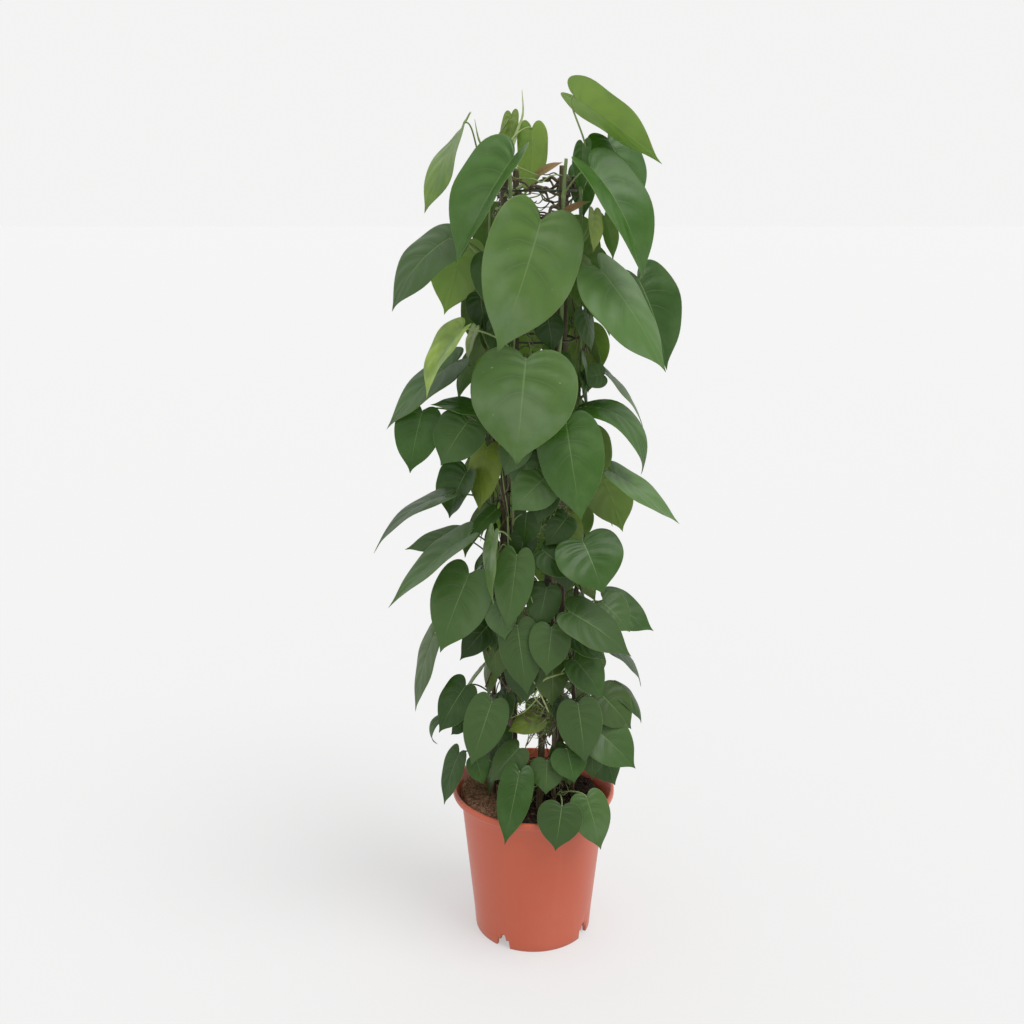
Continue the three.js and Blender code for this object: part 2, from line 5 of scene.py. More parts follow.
import bpy
import numpy as np
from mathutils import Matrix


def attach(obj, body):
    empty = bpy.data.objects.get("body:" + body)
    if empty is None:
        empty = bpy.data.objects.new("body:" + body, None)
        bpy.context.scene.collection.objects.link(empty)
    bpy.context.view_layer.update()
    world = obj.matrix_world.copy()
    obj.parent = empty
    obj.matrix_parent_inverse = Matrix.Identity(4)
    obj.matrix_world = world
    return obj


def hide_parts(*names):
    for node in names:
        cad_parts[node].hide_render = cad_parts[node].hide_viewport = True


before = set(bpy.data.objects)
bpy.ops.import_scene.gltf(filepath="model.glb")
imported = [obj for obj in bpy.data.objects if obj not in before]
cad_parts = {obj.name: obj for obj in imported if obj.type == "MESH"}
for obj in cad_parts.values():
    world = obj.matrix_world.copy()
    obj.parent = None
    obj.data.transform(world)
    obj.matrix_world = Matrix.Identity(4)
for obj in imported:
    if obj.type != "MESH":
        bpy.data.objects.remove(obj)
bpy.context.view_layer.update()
print("frame loaded:", len(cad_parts), "nodes")


# Camera at the photograph's place, and the eye that the leaf places are read from
camera = {
    "distance": 1.6,  # metres in front of the pot's axis
    "height": 1.08,
    "pitch": 15.1,  # degrees down
    "yaw": 1.14,  # degrees to the left
    "lens": 41.55,
    "sensor": 36,
}


def show(name, data):
    made = bpy.data.objects.new(name, data)
    bpy.context.scene.collection.objects.link(made)
    return made


def makeCamera():
    data = bpy.data.cameras.new("photoCamera")
    data.lens = camera["lens"]
    data.sensor_width = camera["sensor"]
    data.clip_start = 0.05
    data.clip_end = 40
    shot = show("photoCamera", data)
    shot.location = (0, -camera["distance"], camera["height"])
    shot.rotation_euler = (math.radians(90 - camera["pitch"]), 0, math.radians(camera["yaw"]))
    bpy.context.scene.camera = shot


makeCamera()
print("camera set")


# Shapes: every form is a grid, round the section and along the form
def unit(vectors):
    return vectors / np.maximum(np.linalg.norm(vectors, axis=-1, keepdims=True), 1e-12)


def luck(seeds):
    # repeatable numbers from 0 to 1: the fraction of a fast sine
    wild = np.sin(np.asarray(seeds, float) * 12.9898 + 4.1414) * 43758.5453
    return wild - np.floor(wild)


def smoothThrough(knots, share):
    # Catmull-Rom curve: a cubic between two knots, its slope at each set by that knot's neighbours
    knots = np.asarray(knots, float)
    last = len(knots) - 1
    at = np.clip(share, 0, 1) * last
    i = np.minimum(at.astype(int), last - 1)
    u = (at - i)[..., None]
    padded = np.vstack([2 * knots[0] - knots[1], knots, 2 * knots[-1] - knots[-2]])
    a, b, c, d = padded[i], padded[i + 1], padded[i + 2], padded[i + 3]
    return 0.5 * (2 * b + (c - a) * u + (2 * a - 5 * b + 4 * c - d) * u**2 + (3 * b - a - 3 * c + d) * u**3)


def tubes(path, radius, sides):
    # round section carried along each path (count, steps, 3), kept from turning about it, ends drawn shut
    way = unit(np.gradient(path, axis=1))
    least = np.argmin(np.abs(way[:, 0]), axis=-1)
    across = np.eye(3)[least]
    fair = np.empty_like(path)
    for step in range(path.shape[1]):
        across = unit(across - way[:, step] * np.sum(across * way[:, step], axis=-1, keepdims=True))
        fair[:, step] = across
    other = np.cross(way, fair)
    path = np.concatenate([path[:, :1], path, path[:, -1:]], axis=1)
    fair = np.concatenate([fair[:, :1], fair, fair[:, -1:]], axis=1)
    other = np.concatenate([other[:, :1], other, other[:, -1:]], axis=1)
    radius = np.pad(np.broadcast_to(radius, path.shape[:1] + (path.shape[1] - 2,)), ((0, 0), (1, 1)))
    angle = np.linspace(0, 2 * np.pi, sides, endpoint=False)[None, :, None, None]
    spoke = np.cos(angle) * fair[:, None] + np.sin(angle) * other[:, None]
    return path[:, None] + radius[:, None, :, None] * spoke


def roundAxis(bearing, radius):
    # the place at a bearing in degrees, 0 at the front and 90 at the right
    bearing = np.radians(bearing)
    return radius * np.sin(bearing), -radius * np.cos(bearing)


def tint(first, second, third):
    # marks with one value, or one for each form
    return np.stack(np.broadcast_arrays(first, second, third, 0.0), axis=-1)[:, None, None]


def part(points, finish, marks=(0, 0, 0, 1), flat=(0.0, 0.0)):
    # one material's forms (count, around, along, 3); marks and flat are read by the finishes
    count, around, along = points.shape[:3]
    index = np.arange(around * along).reshape(around, along)
    after = np.roll(index, -1, axis=0)
    quads = np.stack([index[:, :-1], after[:, :-1], after[:, 1:], index[:, 1:]], axis=-1).reshape(-1, 4)
    faces = np.concatenate([quads[:, [0, 1, 2]], quads[:, [0, 2, 3]]])
    faces = (faces[None] + (np.arange(count) * around * along)[:, None, None]).reshape(-1, 3)
    return {
        "points": points.reshape(-1, 3),
        "faces": faces,
        "marks": np.broadcast_to(marks, (count, around, along, 4)).reshape(-1, 4),
        "flat": np.broadcast_to(flat, (count, around, along, 2)).reshape(-1, 2),
        "form": np.repeat(np.arange(count), around * along),
        "finish": finish,
    }


def makePiece(name, parts, stands=None):
    # joins the parts, welds poles and seams, turns every form to face outwards and hands it to the frame
    starts = np.cumsum([0] + [len(p["points"]) for p in parts[:-1]])
    points, marks, flat = [np.concatenate([p[key] for p in parts]) for key in ("points", "marks", "flat")]
    corners = np.concatenate([p["faces"] + start for p, start in zip(parts, starts)])
    forms = np.cumsum([0] + [p["form"][-1] + 1 for p in parts[:-1]])
    form = np.concatenate([p["form"] + first for p, first in zip(parts, forms)])
    finish = np.repeat(np.arange(len(parts)), [len(p["faces"]) for p in parts])
    keys = np.column_stack([form, np.round(points * 1e6).astype(np.int64)])
    _, first, weld = np.unique(keys, axis=0, return_index=True, return_inverse=True)
    weld = weld.reshape(-1)
    faces = weld[corners]
    whole = (faces[:, 0] != faces[:, 1]) & (faces[:, 1] != faces[:, 2]) & (faces[:, 2] != faces[:, 0])
    faces, corners, finish = faces[whole], corners[whole], finish[whole]
    a, b, c = points[corners[:, 0]], points[corners[:, 1]], points[corners[:, 2]]
    volume = np.bincount(form[corners[:, 0]], np.sum(a * np.cross(b, c), axis=1))
    inside = volume[form[corners[:, 0]]] < 0
    faces[inside] = faces[inside][:, ::-1]
    corners[inside] = corners[inside][:, ::-1]
    mesh = bpy.data.meshes.new(name)
    mesh.from_pydata(points[first], [], faces.tolist())
    finishes = list(dict.fromkeys(p["finish"] for p in parts))
    for material in finishes:
        mesh.materials.append(bpy.data.materials[material])
    slots = np.array([finishes.index(p["finish"]) for p in parts])
    mesh.polygons.foreach_set("material_index", slots[finish].astype(np.int32))
    mesh.polygons.foreach_set("use_smooth", np.ones(len(faces), bool))
    mesh.uv_layers.new(name="flatPlace").data.foreach_set("uv", flat[corners].ravel())
    mesh.attributes.new("marks", "FLOAT_COLOR", "POINT").data.foreach_set("color", marks[first].ravel())
    mesh.update()
    piece = show(name, mesh)
    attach(piece, "root")
    if stands:
        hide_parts(stands)
    print(name, len(faces), "triangles")


# Node helpers: a value is a number, a colour or the output of another node
def addNode(tree, kind, inputs=(), output=0, **settings):
    made = tree.nodes.new("ShaderNode" + kind)
    for key, value in settings.items():
        setattr(made, key, value)
    for key, value in dict(inputs).items():
        if isinstance(value, bpy.types.NodeSocket):
            tree.links.new(value, made.inputs[key])
        else:
            made.inputs[key].default_value = value
    return [made.outputs[i] for i in output] if isinstance(output, tuple) else made.outputs[output]


def calc(tree, how, a, b=0.0, c=0.0):
    return addNode(tree, "Math", {0: a, 1: b, 2: c}, operation=how)


def between(tree, value, low, high, to=(0.0, 1.0)):
    # smooth step of a value from low to high
    sockets = {0: value, 1: low, 2: high, 3: to[0], 4: to[1]}
    return addNode(tree, "MapRange", sockets, interpolation_type="SMOOTHSTEP")


def times(tree, a, b):
    return calc(tree, "MULTIPLY", a, b)


def mixColours(tree, share, a, b, how="MIX"):
    a, b = [(*colour, 1) if isinstance(colour, tuple) else colour for colour in (a, b)]
    return addNode(tree, "Mix", {0: share, 6: a, 7: b}, output=2, data_type="RGBA", blend_type=how)


def dimmed(tree, body, share):
    grey = addNode(tree, "CombineXYZ", {0: share, 1: share, 2: share})
    return mixColours(tree, 1.0, body, grey, "MULTIPLY")


def noise(tree, place, scale, detail=4.0, roughness=0.55):
    sockets = {"Vector": place, "Scale": scale, "Detail": detail, "Roughness": roughness}
    return addNode(tree, "TexNoise", sockets)


def ramp(tree, value, stops):
    made = tree.nodes.new("ShaderNodeValToRGB")
    tree.links.new(value, made.inputs[0])
    for i, (at, colour) in enumerate(stops):
        stop = made.color_ramp.elements[i] if i < 2 else made.color_ramp.elements.new(at)
        stop.position = at
        stop.color = (*colour, 1)
    return made.outputs[0]


def newFinish(name):
    material = bpy.data.materials.new(name)
    material.use_nodes = True
    tree = material.node_tree
    tree.nodes.clear()
    place = addNode(tree, "TexCoord", output=3)
    return tree, place


def endFinish(tree, colour, roughness, height=None, depth=0.0, through=0.0, light=None, **fixed):
    # a Principled shader with a bump, and for thin living tissue a share of light let through
    bump = {}
    if height is not None:
        bump["Normal"] = addNode(tree, "Bump", {"Height": height, "Distance": depth, "Strength": 1.0})
    sockets = {"Base Color": colour, "Roughness": roughness, **bump}
    sockets.update({key.replace("_", " "): value for key, value in fixed.items()})
    surface = addNode(tree, "BsdfPrincipled", sockets)
    if through:
        glow = addNode(tree, "BsdfTranslucent", {"Color": light, **bump})
        surface = addNode(tree, "MixShader", {0: through, 1: surface, 2: glow})
    addNode(tree, "OutputMaterial", {0: surface}, output=())


# Finish of the blades: marks hold age (0 old, 1 dried), underside, brightness (painted shade on low and inner
# leaves, times a random tone); flatPlace the vein grid
leafFinish = {
    "old": (0.036, 0.104, 0.008),
    "grown": (0.084, 0.168, 0.040),
    "young": (0.290, 0.385, 0.045),
    "dried": (0.480, 0.250, 0.120),
    "under": (0.340, 0.460, 0.150),
    "bloomAndSheen": (0.225, 0.285, 0.195),  # wax bloom and painted sheen: grey-green patches
    "vein": (0.200, 0.290, 0.110),
    "edge": (0.260, 0.340, 0.130),
    "veinCount": 7.0,  # side veins of each half
    "veinBow": 0.14,
    "roughness": 0.33,
    "furrowShade": (0.48, 0.58, 0.46),  # painted shade in the vein furrows: what the blade is multiplied by beside its veins
    "lightThrough": (1.9, 2.4, 0.7),
    "through": 0.26,
    "specular": 0.36,
    "bumpDepth": 0.0003,
}


def makeLeafFinish():
    f = leafFinish
    tree, place = newFinish("leafSkin")
    marks = addNode(tree, "Attribute", attribute_name="marks")
    age, under, own = addNode(tree, "SeparateColor", {0: marks}, output=(0, 1, 2))
    flat = addNode(tree, "UVMap", uv_map="flatPlace")
    share, half = addNode(tree, "SeparateXYZ", {0: flat}, output=(0, 1))
    out = calc(tree, "ABSOLUTE", calc(tree, "MULTIPLY_ADD", half, 2.0, -1.0))
    body = ramp(tree, age, [(0, f["old"]), (0.33, f["grown"]), (0.67, f["young"]), (1, f["dried"])])
    clouds = noise(tree, place, 22.0, 3.0)
    body = mixColours(tree, between(tree, clouds, 0.40, 0.70, (0.0, 0.6)), body, f["grown"])
    # painted shade: the brightness mark dims low and inner leaves, besides a random tone
    body = dimmed(tree, body, own)
    # wax bloom and painted sheen: grey-green patches, fewer on young leaves and on leaves dimmed by the
    # painted shade
    bloomAndSheen = between(tree, noise(tree, place, 19.0, 4.0), 0.42, 0.70, (0.0, 0.32))
    bloomAndSheen = times(tree, bloomAndSheen, between(tree, age, 0.0, 0.35, (0.35, 1.0)))
    bloomAndSheen = times(tree, bloomAndSheen, between(tree, own, 0.65, 1.0, (0.05, 1.0)))
    body = mixColours(tree, bloomAndSheen, body, f["bloomAndSheen"])
    # side veins run out from the midrib at even steps of the vein grid, bowed towards the tip
    bow = times(tree, times(tree, out, out), -f["veinBow"])
    lines = times(tree, calc(tree, "ADD", share, bow), f["veinCount"])
    lines = calc(tree, "ADD", lines, times(tree, noise(tree, place, 24.0, 1.0), 0.4))
    off = calc(tree, "ABSOLUTE", calc(tree, "SUBTRACT", calc(tree, "FRACT", lines), 0.5))
    sideVein = between(tree, off, 0.0, 0.045, (1.0, 0.0))
    fade = between(tree, out, 0.2, 0.85, (0.26, 0.03))
    fade = times(tree, fade, between(tree, share, 0.55, 0.8, (1.0, 0.0)))
    sideVein = times(tree, sideVein, fade)
    # painted shade: the blade darkens beside the side veins, in their furrows
    shade = times(tree, between(tree, off, 0.03, 0.38, (1.4, 0.0)), fade)
    narrow = calc(tree, "MULTIPLY_ADD", share, -0.012, 0.03)
    midrib = between(tree, out, times(tree, narrow, 0.4), narrow, (0.6, 0.0))
    midrib = times(tree, midrib, between(tree, share, 0.75, 1.0, (1.0, 0.3)))
    dark = mixColours(tree, 1.0, body, f["furrowShade"], "MULTIPLY")
    body = mixColours(tree, shade, body, dark)
    below = mixColours(tree, 0.55, body, f["under"])
    body = mixColours(tree, under, body, below)
    body = mixColours(tree, sideVein, body, f["vein"])
    body = mixColours(tree, midrib, body, f["vein"])
    rim = between(tree, out, 0.978, 0.994, (0.0, 0.4))
    body = mixColours(tree, rim, body, f["edge"])
    cells = noise(tree, place, 900.0, 2.0)
    height = calc(tree, "MULTIPLY_ADD", sideVein, -1.2, times(tree, cells, 0.25))
    rough = calc(tree, "ADD", f["roughness"], times(tree, under, 0.22))
    rough = calc(tree, "ADD", rough, between(tree, clouds, 0.3, 0.7, (0.0, 0.1)))
    light = mixColours(tree, 1.0, body, f["lightThrough"], "MULTIPLY")
    depth, through = f["bumpDepth"], f["through"]
    endFinish(tree, body, rough, height, depth, through, light, Specular_IOR_Level=f["specular"])


# Finish of stems and petioles: marks hold brown (0 fresh, 1 woody), pale, brightness
stemFinish = {
    "fresh": (0.085, 0.150, 0.040),
    "pale": (0.300, 0.380, 0.140),
    "woody": (0.060, 0.042, 0.022),
    "bark": (0.150, 0.110, 0.060),
    "roughness": 0.5,
}


def makeStemFinish():
    f = stemFinish
    tree, place = newFinish("stemSkin")
    marks = addNode(tree, "Attribute", attribute_name="marks")
    brown, pale, own = addNode(tree, "SeparateColor", {0: marks}, output=(0, 1, 2))
    stretched = addNode(tree, "Mapping", {0: place, 3: (1, 1, 0.12)})
    grain = noise(tree, stretched, 420.0, 4.0)
    fresh = mixColours(tree, pale, f["fresh"], f["pale"])
    bark = mixColours(tree, between(tree, grain, 0.35, 0.7), f["woody"], f["bark"])
    woody = calc(tree, "SUBTRACT", brown, 0.25)
    patch = calc(tree, "MULTIPLY_ADD", noise(tree, place, 45.0, 3.0), 0.5, woody)
    body = mixColours(tree, between(tree, patch, 0.35, 0.65), fresh, bark)
    own = calc(tree, "MULTIPLY_ADD", own, 0.5, 0.75)
    body = dimmed(tree, body, own)
    endFinish(tree, body, f["roughness"], grain, 0.0004)


potFinish = {
    "body": (0.48, 0.090, 0.040),
    "dusty": (0.52, 0.150, 0.085),
    "speck": (0.16, 0.05, 0.035),
    "roughness": 0.30,
}


def makePotFinish():
    f = potFinish
    tree, place = newFinish("terracottaPlastic")
    clouds = noise(tree, place, 7.0, 5.0)
    body = mixColours(tree, between(tree, clouds, 0.45, 0.8, (0.0, 0.35)), f["body"], f["dusty"])
    streaks = noise(tree, addNode(tree, "Mapping", {0: place, 3: (1, 1, 0.04)}), 60.0, 2.0)
    body = mixColours(tree, between(tree, streaks, 0.5, 0.8, (0, 0.12)), body, f["dusty"])
    specks = addNode(tree, "TexVoronoi", {"Vector": place, "Scale": 160.0})
    body = mixColours(tree, between(tree, specks, 0.05, 0.09, (0.35, 0.0)), body, f["speck"])
    grain = noise(tree, place, 900.0, 2.0)
    rings = addNode(tree, "TexWave", {"Vector": place, "Scale": 70.0, "Distortion": 1.5}, bands_direction="Z")
    height = calc(tree, "MULTIPLY_ADD", rings, 0.15, times(tree, grain, 0.4))
    rough = between(tree, clouds, 0.3, 0.75, (f["roughness"], f["roughness"] + 0.14))
    endFinish(tree, body, rough, height, 0.00008, Specular_IOR_Level=0.5)


compostFinish = {
    "dark": (0.014, 0.010, 0.008),
    "brown": (0.075, 0.042, 0.026),
    "husk": (0.110, 0.056, 0.034),
    "coir": (0.370, 0.218, 0.130),
}


def makeCompostFinish():
    # marks hold coir (0 compost, 1 coir), unused, brightness
    f = compostFinish
    tree, place = newFinish("pottingMix")
    marks = addNode(tree, "Attribute", attribute_name="marks")
    coir, own = addNode(tree, "SeparateColor", {0: marks}, output=(0, 2))
    grain = noise(tree, place, 260.0, 6.0, 0.7)
    lumps = addNode(tree, "TexVoronoi", {"Vector": place, "Scale": 170.0})
    body = mixColours(tree, between(tree, grain, 0.4, 0.75), f["dark"], f["brown"])
    tan = mixColours(tree, between(tree, grain, 0.35, 0.6), f["husk"], f["coir"])
    body = mixColours(tree, coir, body, tan)
    own = calc(tree, "MULTIPLY_ADD", own, 0.9, 0.6)
    body = dimmed(tree, body, own)
    height = calc(tree, "MULTIPLY_ADD", lumps, -0.6, grain)
    endFinish(tree, body, 0.92, height, 0.0018, Specular_IOR_Level=0.2)


bambooFinish = {"tan": (0.150, 0.112, 0.052), "brown": (0.045, 0.034, 0.018), "green": (0.070, 0.080, 0.028)}


def makeBambooFinish():
    f = bambooFinish
    tree, place = newFinish("agedBamboo")
    stretched = addNode(tree, "Mapping", {0: place, 3: (1, 1, 0.03)})
    fibres = noise(tree, stretched, 700.0, 4.0)
    body = mixColours(tree, between(tree, fibres, 0.3, 0.7), f["brown"], f["tan"])
    stain = noise(tree, place, 9.0, 4.0)
    body = mixColours(tree, between(tree, stain, 0.4, 0.7, (0.0, 0.7)), body, f["green"])
    endFinish(tree, body, 0.5, fibres, 0.0003)


wireFinish = {"coat": (0.028, 0.040, 0.022), "worn": (0.110, 0.085, 0.050)}


def makeWireFinish():
    f = wireFinish
    tree, place = newFinish("coatedWire")
    wear = noise(tree, place, 90.0, 5.0)
    body = mixColours(tree, between(tree, wear, 0.5, 0.7), f["coat"], f["worn"])
    endFinish(tree, body, between(tree, wear, 0.4, 0.7, (0.4, 0.7)), wear, 0.0002)


makeLeafFinish()
makeStemFinish()
makePotFinish()
makeCompostFinish()
makeBambooFinish()
makeWireFinish()
print("finishes made")


# Pot: a wall profile turned round the axis, its foot lifted into four notches
pot = {
    "rimRadius": 0.120,
    "height": 0.228,
    "footRadius": 0.087,
    "wall": 0.0026,
    "lip": 0.012,
    "overhang": 0.011,
    "floor": 0.014,  # underside of the raised floor
    "pad": 0.030,
    "notchWidth": 0.021,
    "notchHeight": 0.012,
    "slotWidth": 0.008,
    "slotHeight": 0.020,
    "notchTurn": 30,
    "stillAbove": 0.030,  # below this height the skirt is squeezed upwards by the notches
    "sides": 576,
}


def makePot():
    p = pot
    rim, top, foot, pad, floor = (p[key] for key in ("rimRadius", "height", "footRadius", "pad", "floor"))
    neck, shoulder, inside = rim - p["overhang"], top - p["lip"], floor + p["wall"]
    outer = [
        (0, 0), (pad - 0.002, 0), (pad, 0.0006), (pad + 0.0055, floor - 0.001), (pad + 0.008, floor),
        (foot - 0.0075, floor), (foot - 0.0056, floor - 0.002), (foot - 0.0048, 0.0008), (foot - 0.0042, 0),
        (foot - 0.0006, 0), (foot, 0.0006), (foot + 0.0008, 0.010), (foot + 0.0015, 0.020),
        (foot + 0.0034, 0.040), (neck - 0.0034, shoulder - 0.024), (neck - 0.0030, shoulder - 0.0205),
        (neck - 0.0016, shoulder - 0.006), (neck + 0.0004, shoulder - 0.002),
        (neck + 0.0026, shoulder + 0.0002), (neck + 0.0085, shoulder + 0.0016),
        (neck + 0.0102, shoulder + 0.0024), (rim, shoulder + 0.0042),
        (rim, top - 0.0022), (rim - 0.0006, top - 0.0007), (rim - 0.0018, top), (rim - 0.0036, top),
        (rim - 0.0048, top - 0.0008), (neck + 0.0030, shoulder + 0.0030), (neck - 0.0006, shoulder - 0.001),
        (neck - 0.0058, shoulder - 0.024), (foot - 0.0011, 0.022), (foot - 0.0030, inside + 0.0008),
        (foot - 0.0046, inside), (pad + 0.0056, inside), (pad + 0.0046, inside - 0.001),
        (pad - 0.0014, p["wall"]), (0, p["wall"]),
    ]
    outer = np.array(outer)
    turns = np.linspace(0, 2 * np.pi, p["sides"], endpoint=False)
    fromNotch = (np.degrees(turns) + 90 + p["notchTurn"] + 45) % 90 - 45
    across = np.abs(np.radians(fromNotch)) * foot
    lift = p["notchHeight"] * np.clip((p["notchWidth"] / 2 - across) / 0.0012 + 0.5, 0, 1)
    lift += (p["slotHeight"] - p["notchHeight"]) * np.clip((p["slotWidth"] / 2 - across) / 0.0010 + 0.5, 0, 1)
    radius = np.broadcast_to(outer[:, 0], (p["sides"], len(outer)))
    skirt = radius > foot - 0.0076
    height = outer[:, 1] + np.zeros((p["sides"], 1))
    still = p["stillAbove"]
    lifted = lift[:, None] + height * (still - lift[:, None]) / still
    height = np.where(skirt & (height < still), lifted, height)
    x, y = radius * np.cos(turns)[:, None], radius * np.sin(turns)[:, None]
    points = np.stack([x, y, height], axis=-1)
    makePiece("flowerPot", [part(points[None], "terracottaPlastic")], "pot")


makePot()


# Soil: a mound with low lumps, and a rise of coir at the front left
soil = {
    "level": 0.207,
    "mound": 0.005,
    "coirAt": (-0.062, -0.062),
    "coirWide": (0.034, 0.030),
    "coirRise": 0.015,
    "radius": 0.1015,
    "roughness": 0.0016,
    "crumbs": 900,
    "fibres": 900,
}


def coirShare(x, y):
    # a bell over the coir's middle
    (u, v), (wide, deep) = soil["coirAt"], soil["coirWide"]
    return np.exp(-(((x - u) / wide) ** 2) - ((y - v) / deep) ** 2)


def soilHeight(x, y):
    # level + mound falling off as the square of the radius + coir bell + crossed waves
    radius = np.hypot(x, y)
    mound = soil["mound"] * (1 - (radius / 0.110) ** 2)
    lumps = 0.0014 * np.sin(x / 0.011 + 2) * np.sin(y / 0.013 - 1)
    return soil["level"] + mound + soil["coirRise"] * coirShare(x, y) + lumps


def crumble(x, y):
    # finer unevenness: waves of falling length, turned against each other
    total = np.zeros_like(x)
    for i, (length, share) in enumerate([(0.013, 1.0), (0.0078, 0.7), (0.0047, 0.5), (0.0029, 0.35)]):
        turn = 0.9 * i + 0.4
        u, v = x * math.cos(turn) + y * math.sin(turn), y * math.cos(turn) - x * math.sin(turn)
        bent = 6.28 * u / length + 1.3 * np.sin(6.28 * v / (1.7 * length))
        total += share * np.sin(bent) * np.sin(6.28 * v / length)
    return total


def makeSoil():
    around, rings = 320, 72
    turn = np.linspace(0, 2 * np.pi, around, endpoint=False)[:, None]
    share = np.linspace(0, 1, rings)[None, ::-1] ** 0.8
    x, y = soil["radius"] * share * np.cos(turn), soil["radius"] * share * np.sin(turn)
    rough = soil["roughness"] * crumble(x, y) * np.clip((1 - share) * 12, 0, 1)
    top = np.stack([x, y, soilHeight(x, y) + rough], axis=-1)
    wall = [(0, 0.0032), (0.028, 0.0032), (0.034, 0.0172), (0.0822, 0.0172), (0.0845, 0.05), (0.0990, 0.188)]
    wall = np.array(wall)
    side = np.stack([wall[:, 0] * np.cos(turn), wall[:, 0] * np.sin(turn), wall[:, 1] + 0 * turn], axis=-1)
    points = np.concatenate([side, top], axis=1)
    marks = np.zeros(points.shape[:2] + (4,))
    marks[..., 0] = np.clip(coirShare(points[..., 0], points[..., 1]) * 2.6 - 0.7, 0, 1)
    marks[..., 2] = 0.5
    makePiece("pottingSoil", [part(points[None], "pottingMix", marks[None])], "soil")


def scatter(count, seed):
    # even draws over the soil's disc
    seeds = seed + np.arange(count) * 7.0
    turn, away = 2 * np.pi * luck(seeds), 0.099 * np.sqrt(luck(seeds + 1))
    return away * np.cos(turn), away * np.sin(turn), seeds


def pebbles(x, y, size, seeds, sink):
    # small closed lumps: a globe of few faces, dented by two waves of its own
    turn = np.linspace(0, 2 * np.pi, 7, endpoint=False)[None, :, None]
    lean = np.linspace(0, np.pi, 5)[None, None, :]
    own = 6.28 * luck(seeds + 2)[:, None, None]
    bump = 1 + 0.25 * np.sin(2 * turn + own) * np.sin(lean) + 0.2 * np.sin(3 * lean + 2 * own)
    bump = np.where((lean == 0) | (lean == np.pi), bump.mean(axis=1, keepdims=True), bump)
    r = size[:, None, None] * bump
    flatten = (0.5 + 0.5 * luck(seeds + 3))[:, None, None]
    px = x[:, None, None] + r * np.sin(lean) * np.cos(turn + own)
    py = y[:, None, None] + r * np.sin(lean) * np.sin(turn + own) * (0.6 + 0.4 * flatten)
    pz = soilHeight(x, y)[:, None, None] + r * np.cos(lean) * flatten + (size * sink)[:, None, None]
    return np.stack([px, py, pz], axis=-1)


def makeCrumbs():
    x, y, seeds = scatter(soil["crumbs"], 3.1)
    size = 0.0011 + 0.0030 * luck(seeds + 4) ** 3
    marks = tint(0.25 * luck(seeds + 5), 0.0, luck(seeds + 6))
    makePiece("soilCrumbs", [part(pebbles(x, y, size, seeds, 0.15), "pottingMix", marks)])


mat = {"turns": (-118, -18), "radii": (0.046, 0.1085), "top": 0.2262, "around": 220, "section": 48}


def matHeight(turn, radius):
    # the coir mat fills the soil's dip up to the rim and falls off at its ends and inner side
    (near, far), (first, last) = mat["radii"], mat["turns"]
    u = np.clip((turn - first) / (last - first), 0, 1)
    v = np.clip((radius - near) / (far - near), 0, 1)
    x, y = roundAxis(turn, radius)
    share = (1 - (2 * u - 1) ** 4) * np.sin(np.pi / 2 * np.minimum(1, v / 0.6)) ** 1.5
    share = share * (1 - 0.5 * np.clip((v - 0.9) / 0.1, 0, 1) ** 2)
    rough = 0.0011 * crumble(x, y) * share
    return soilHeight(x, y) + np.maximum(0, mat["top"] - soilHeight(x, y)) * share + rough


def makeMat():
    # section: out along the top, back along the bottom; it closes to a point at both ends
    (near, far), (first, last) = mat["radii"], mat["turns"]
    turn = np.linspace(first, last, mat["around"])[None, :]
    wide = np.sqrt(1 - np.linspace(-1, 1, mat["around"]) ** 6)[None, :]
    half = mat["section"] // 2
    out = np.concatenate([np.linspace(0, 1, half), np.linspace(1, 0, half)])[:, None]
    upper = np.concatenate([np.ones(half), np.zeros(half)])[:, None]
    middle = (near + far) / 2
    radius = middle + (far - near) * (out - 0.5) * wide
    x, y = roundAxis(turn, radius)
    low = soilHeight(x, y) - 0.003 * wide
    inner = np.where(out * np.ones_like(turn) > 0.75, 0.212, low)
    high = np.where(upper > 0, matHeight(turn, radius) + 0.0004, np.maximum(low, inner))
    points = np.stack([x, y, np.where(wide > 1e-6, high, soilHeight(x, y))], axis=-1)
    makePiece("coirMat", [part(points[None], "pottingMix", (1, 0, 0.5, 1))])


def makeFibres():
    # each fibre is a flat arc over the coir, its ends dipping in
    seeds = 11.7 + 7.0 * np.arange(soil["fibres"])
    step = np.linspace(-1, 1, 9)[None, :]
    (near, far), (first, last) = mat["radii"], mat["turns"]
    away = near + 0.012 + (far - near - 0.014) * np.sqrt(luck(seeds + 1))
    x, y = roundAxis(first + (last - first) * luck(seeds), away)
    way, bend = 6.28 * luck(seeds + 2)[:, None], (2.4 * luck(seeds + 3) - 1.2)[:, None]
    length = (0.004 + 0.009 * luck(seeds + 4))[:, None]
    angle = way + bend * step
    px = x[:, None] + length * step * np.cos(angle)
    py = y[:, None] + length * step * np.sin(angle)
    inside = 0.1075 / np.maximum(np.hypot(px, py), 0.1075)
    px, py = px * inside, py * inside
    ground = matHeight(np.degrees(np.arctan2(px, -py)), np.hypot(px, py))
    rise = (0.0008 + 0.0022 * luck(seeds + 5) ** 2)[:, None] * (1 - step**2)
    path = np.stack([px, py, ground + rise], axis=-1)
    radius = (0.00022 + 0.00030 * luck(seeds + 6))[:, None] * (1 - 0.6 * step**2)
    marks = tint(1.0, 0.0, luck(seeds + 7))
    makePiece("coirFibres", [part(tubes(path, radius, 4), "pottingMix", marks)])


makeSoil()
makeCrumbs()
makeMat()
makeFibres()
print("pot and soil made")


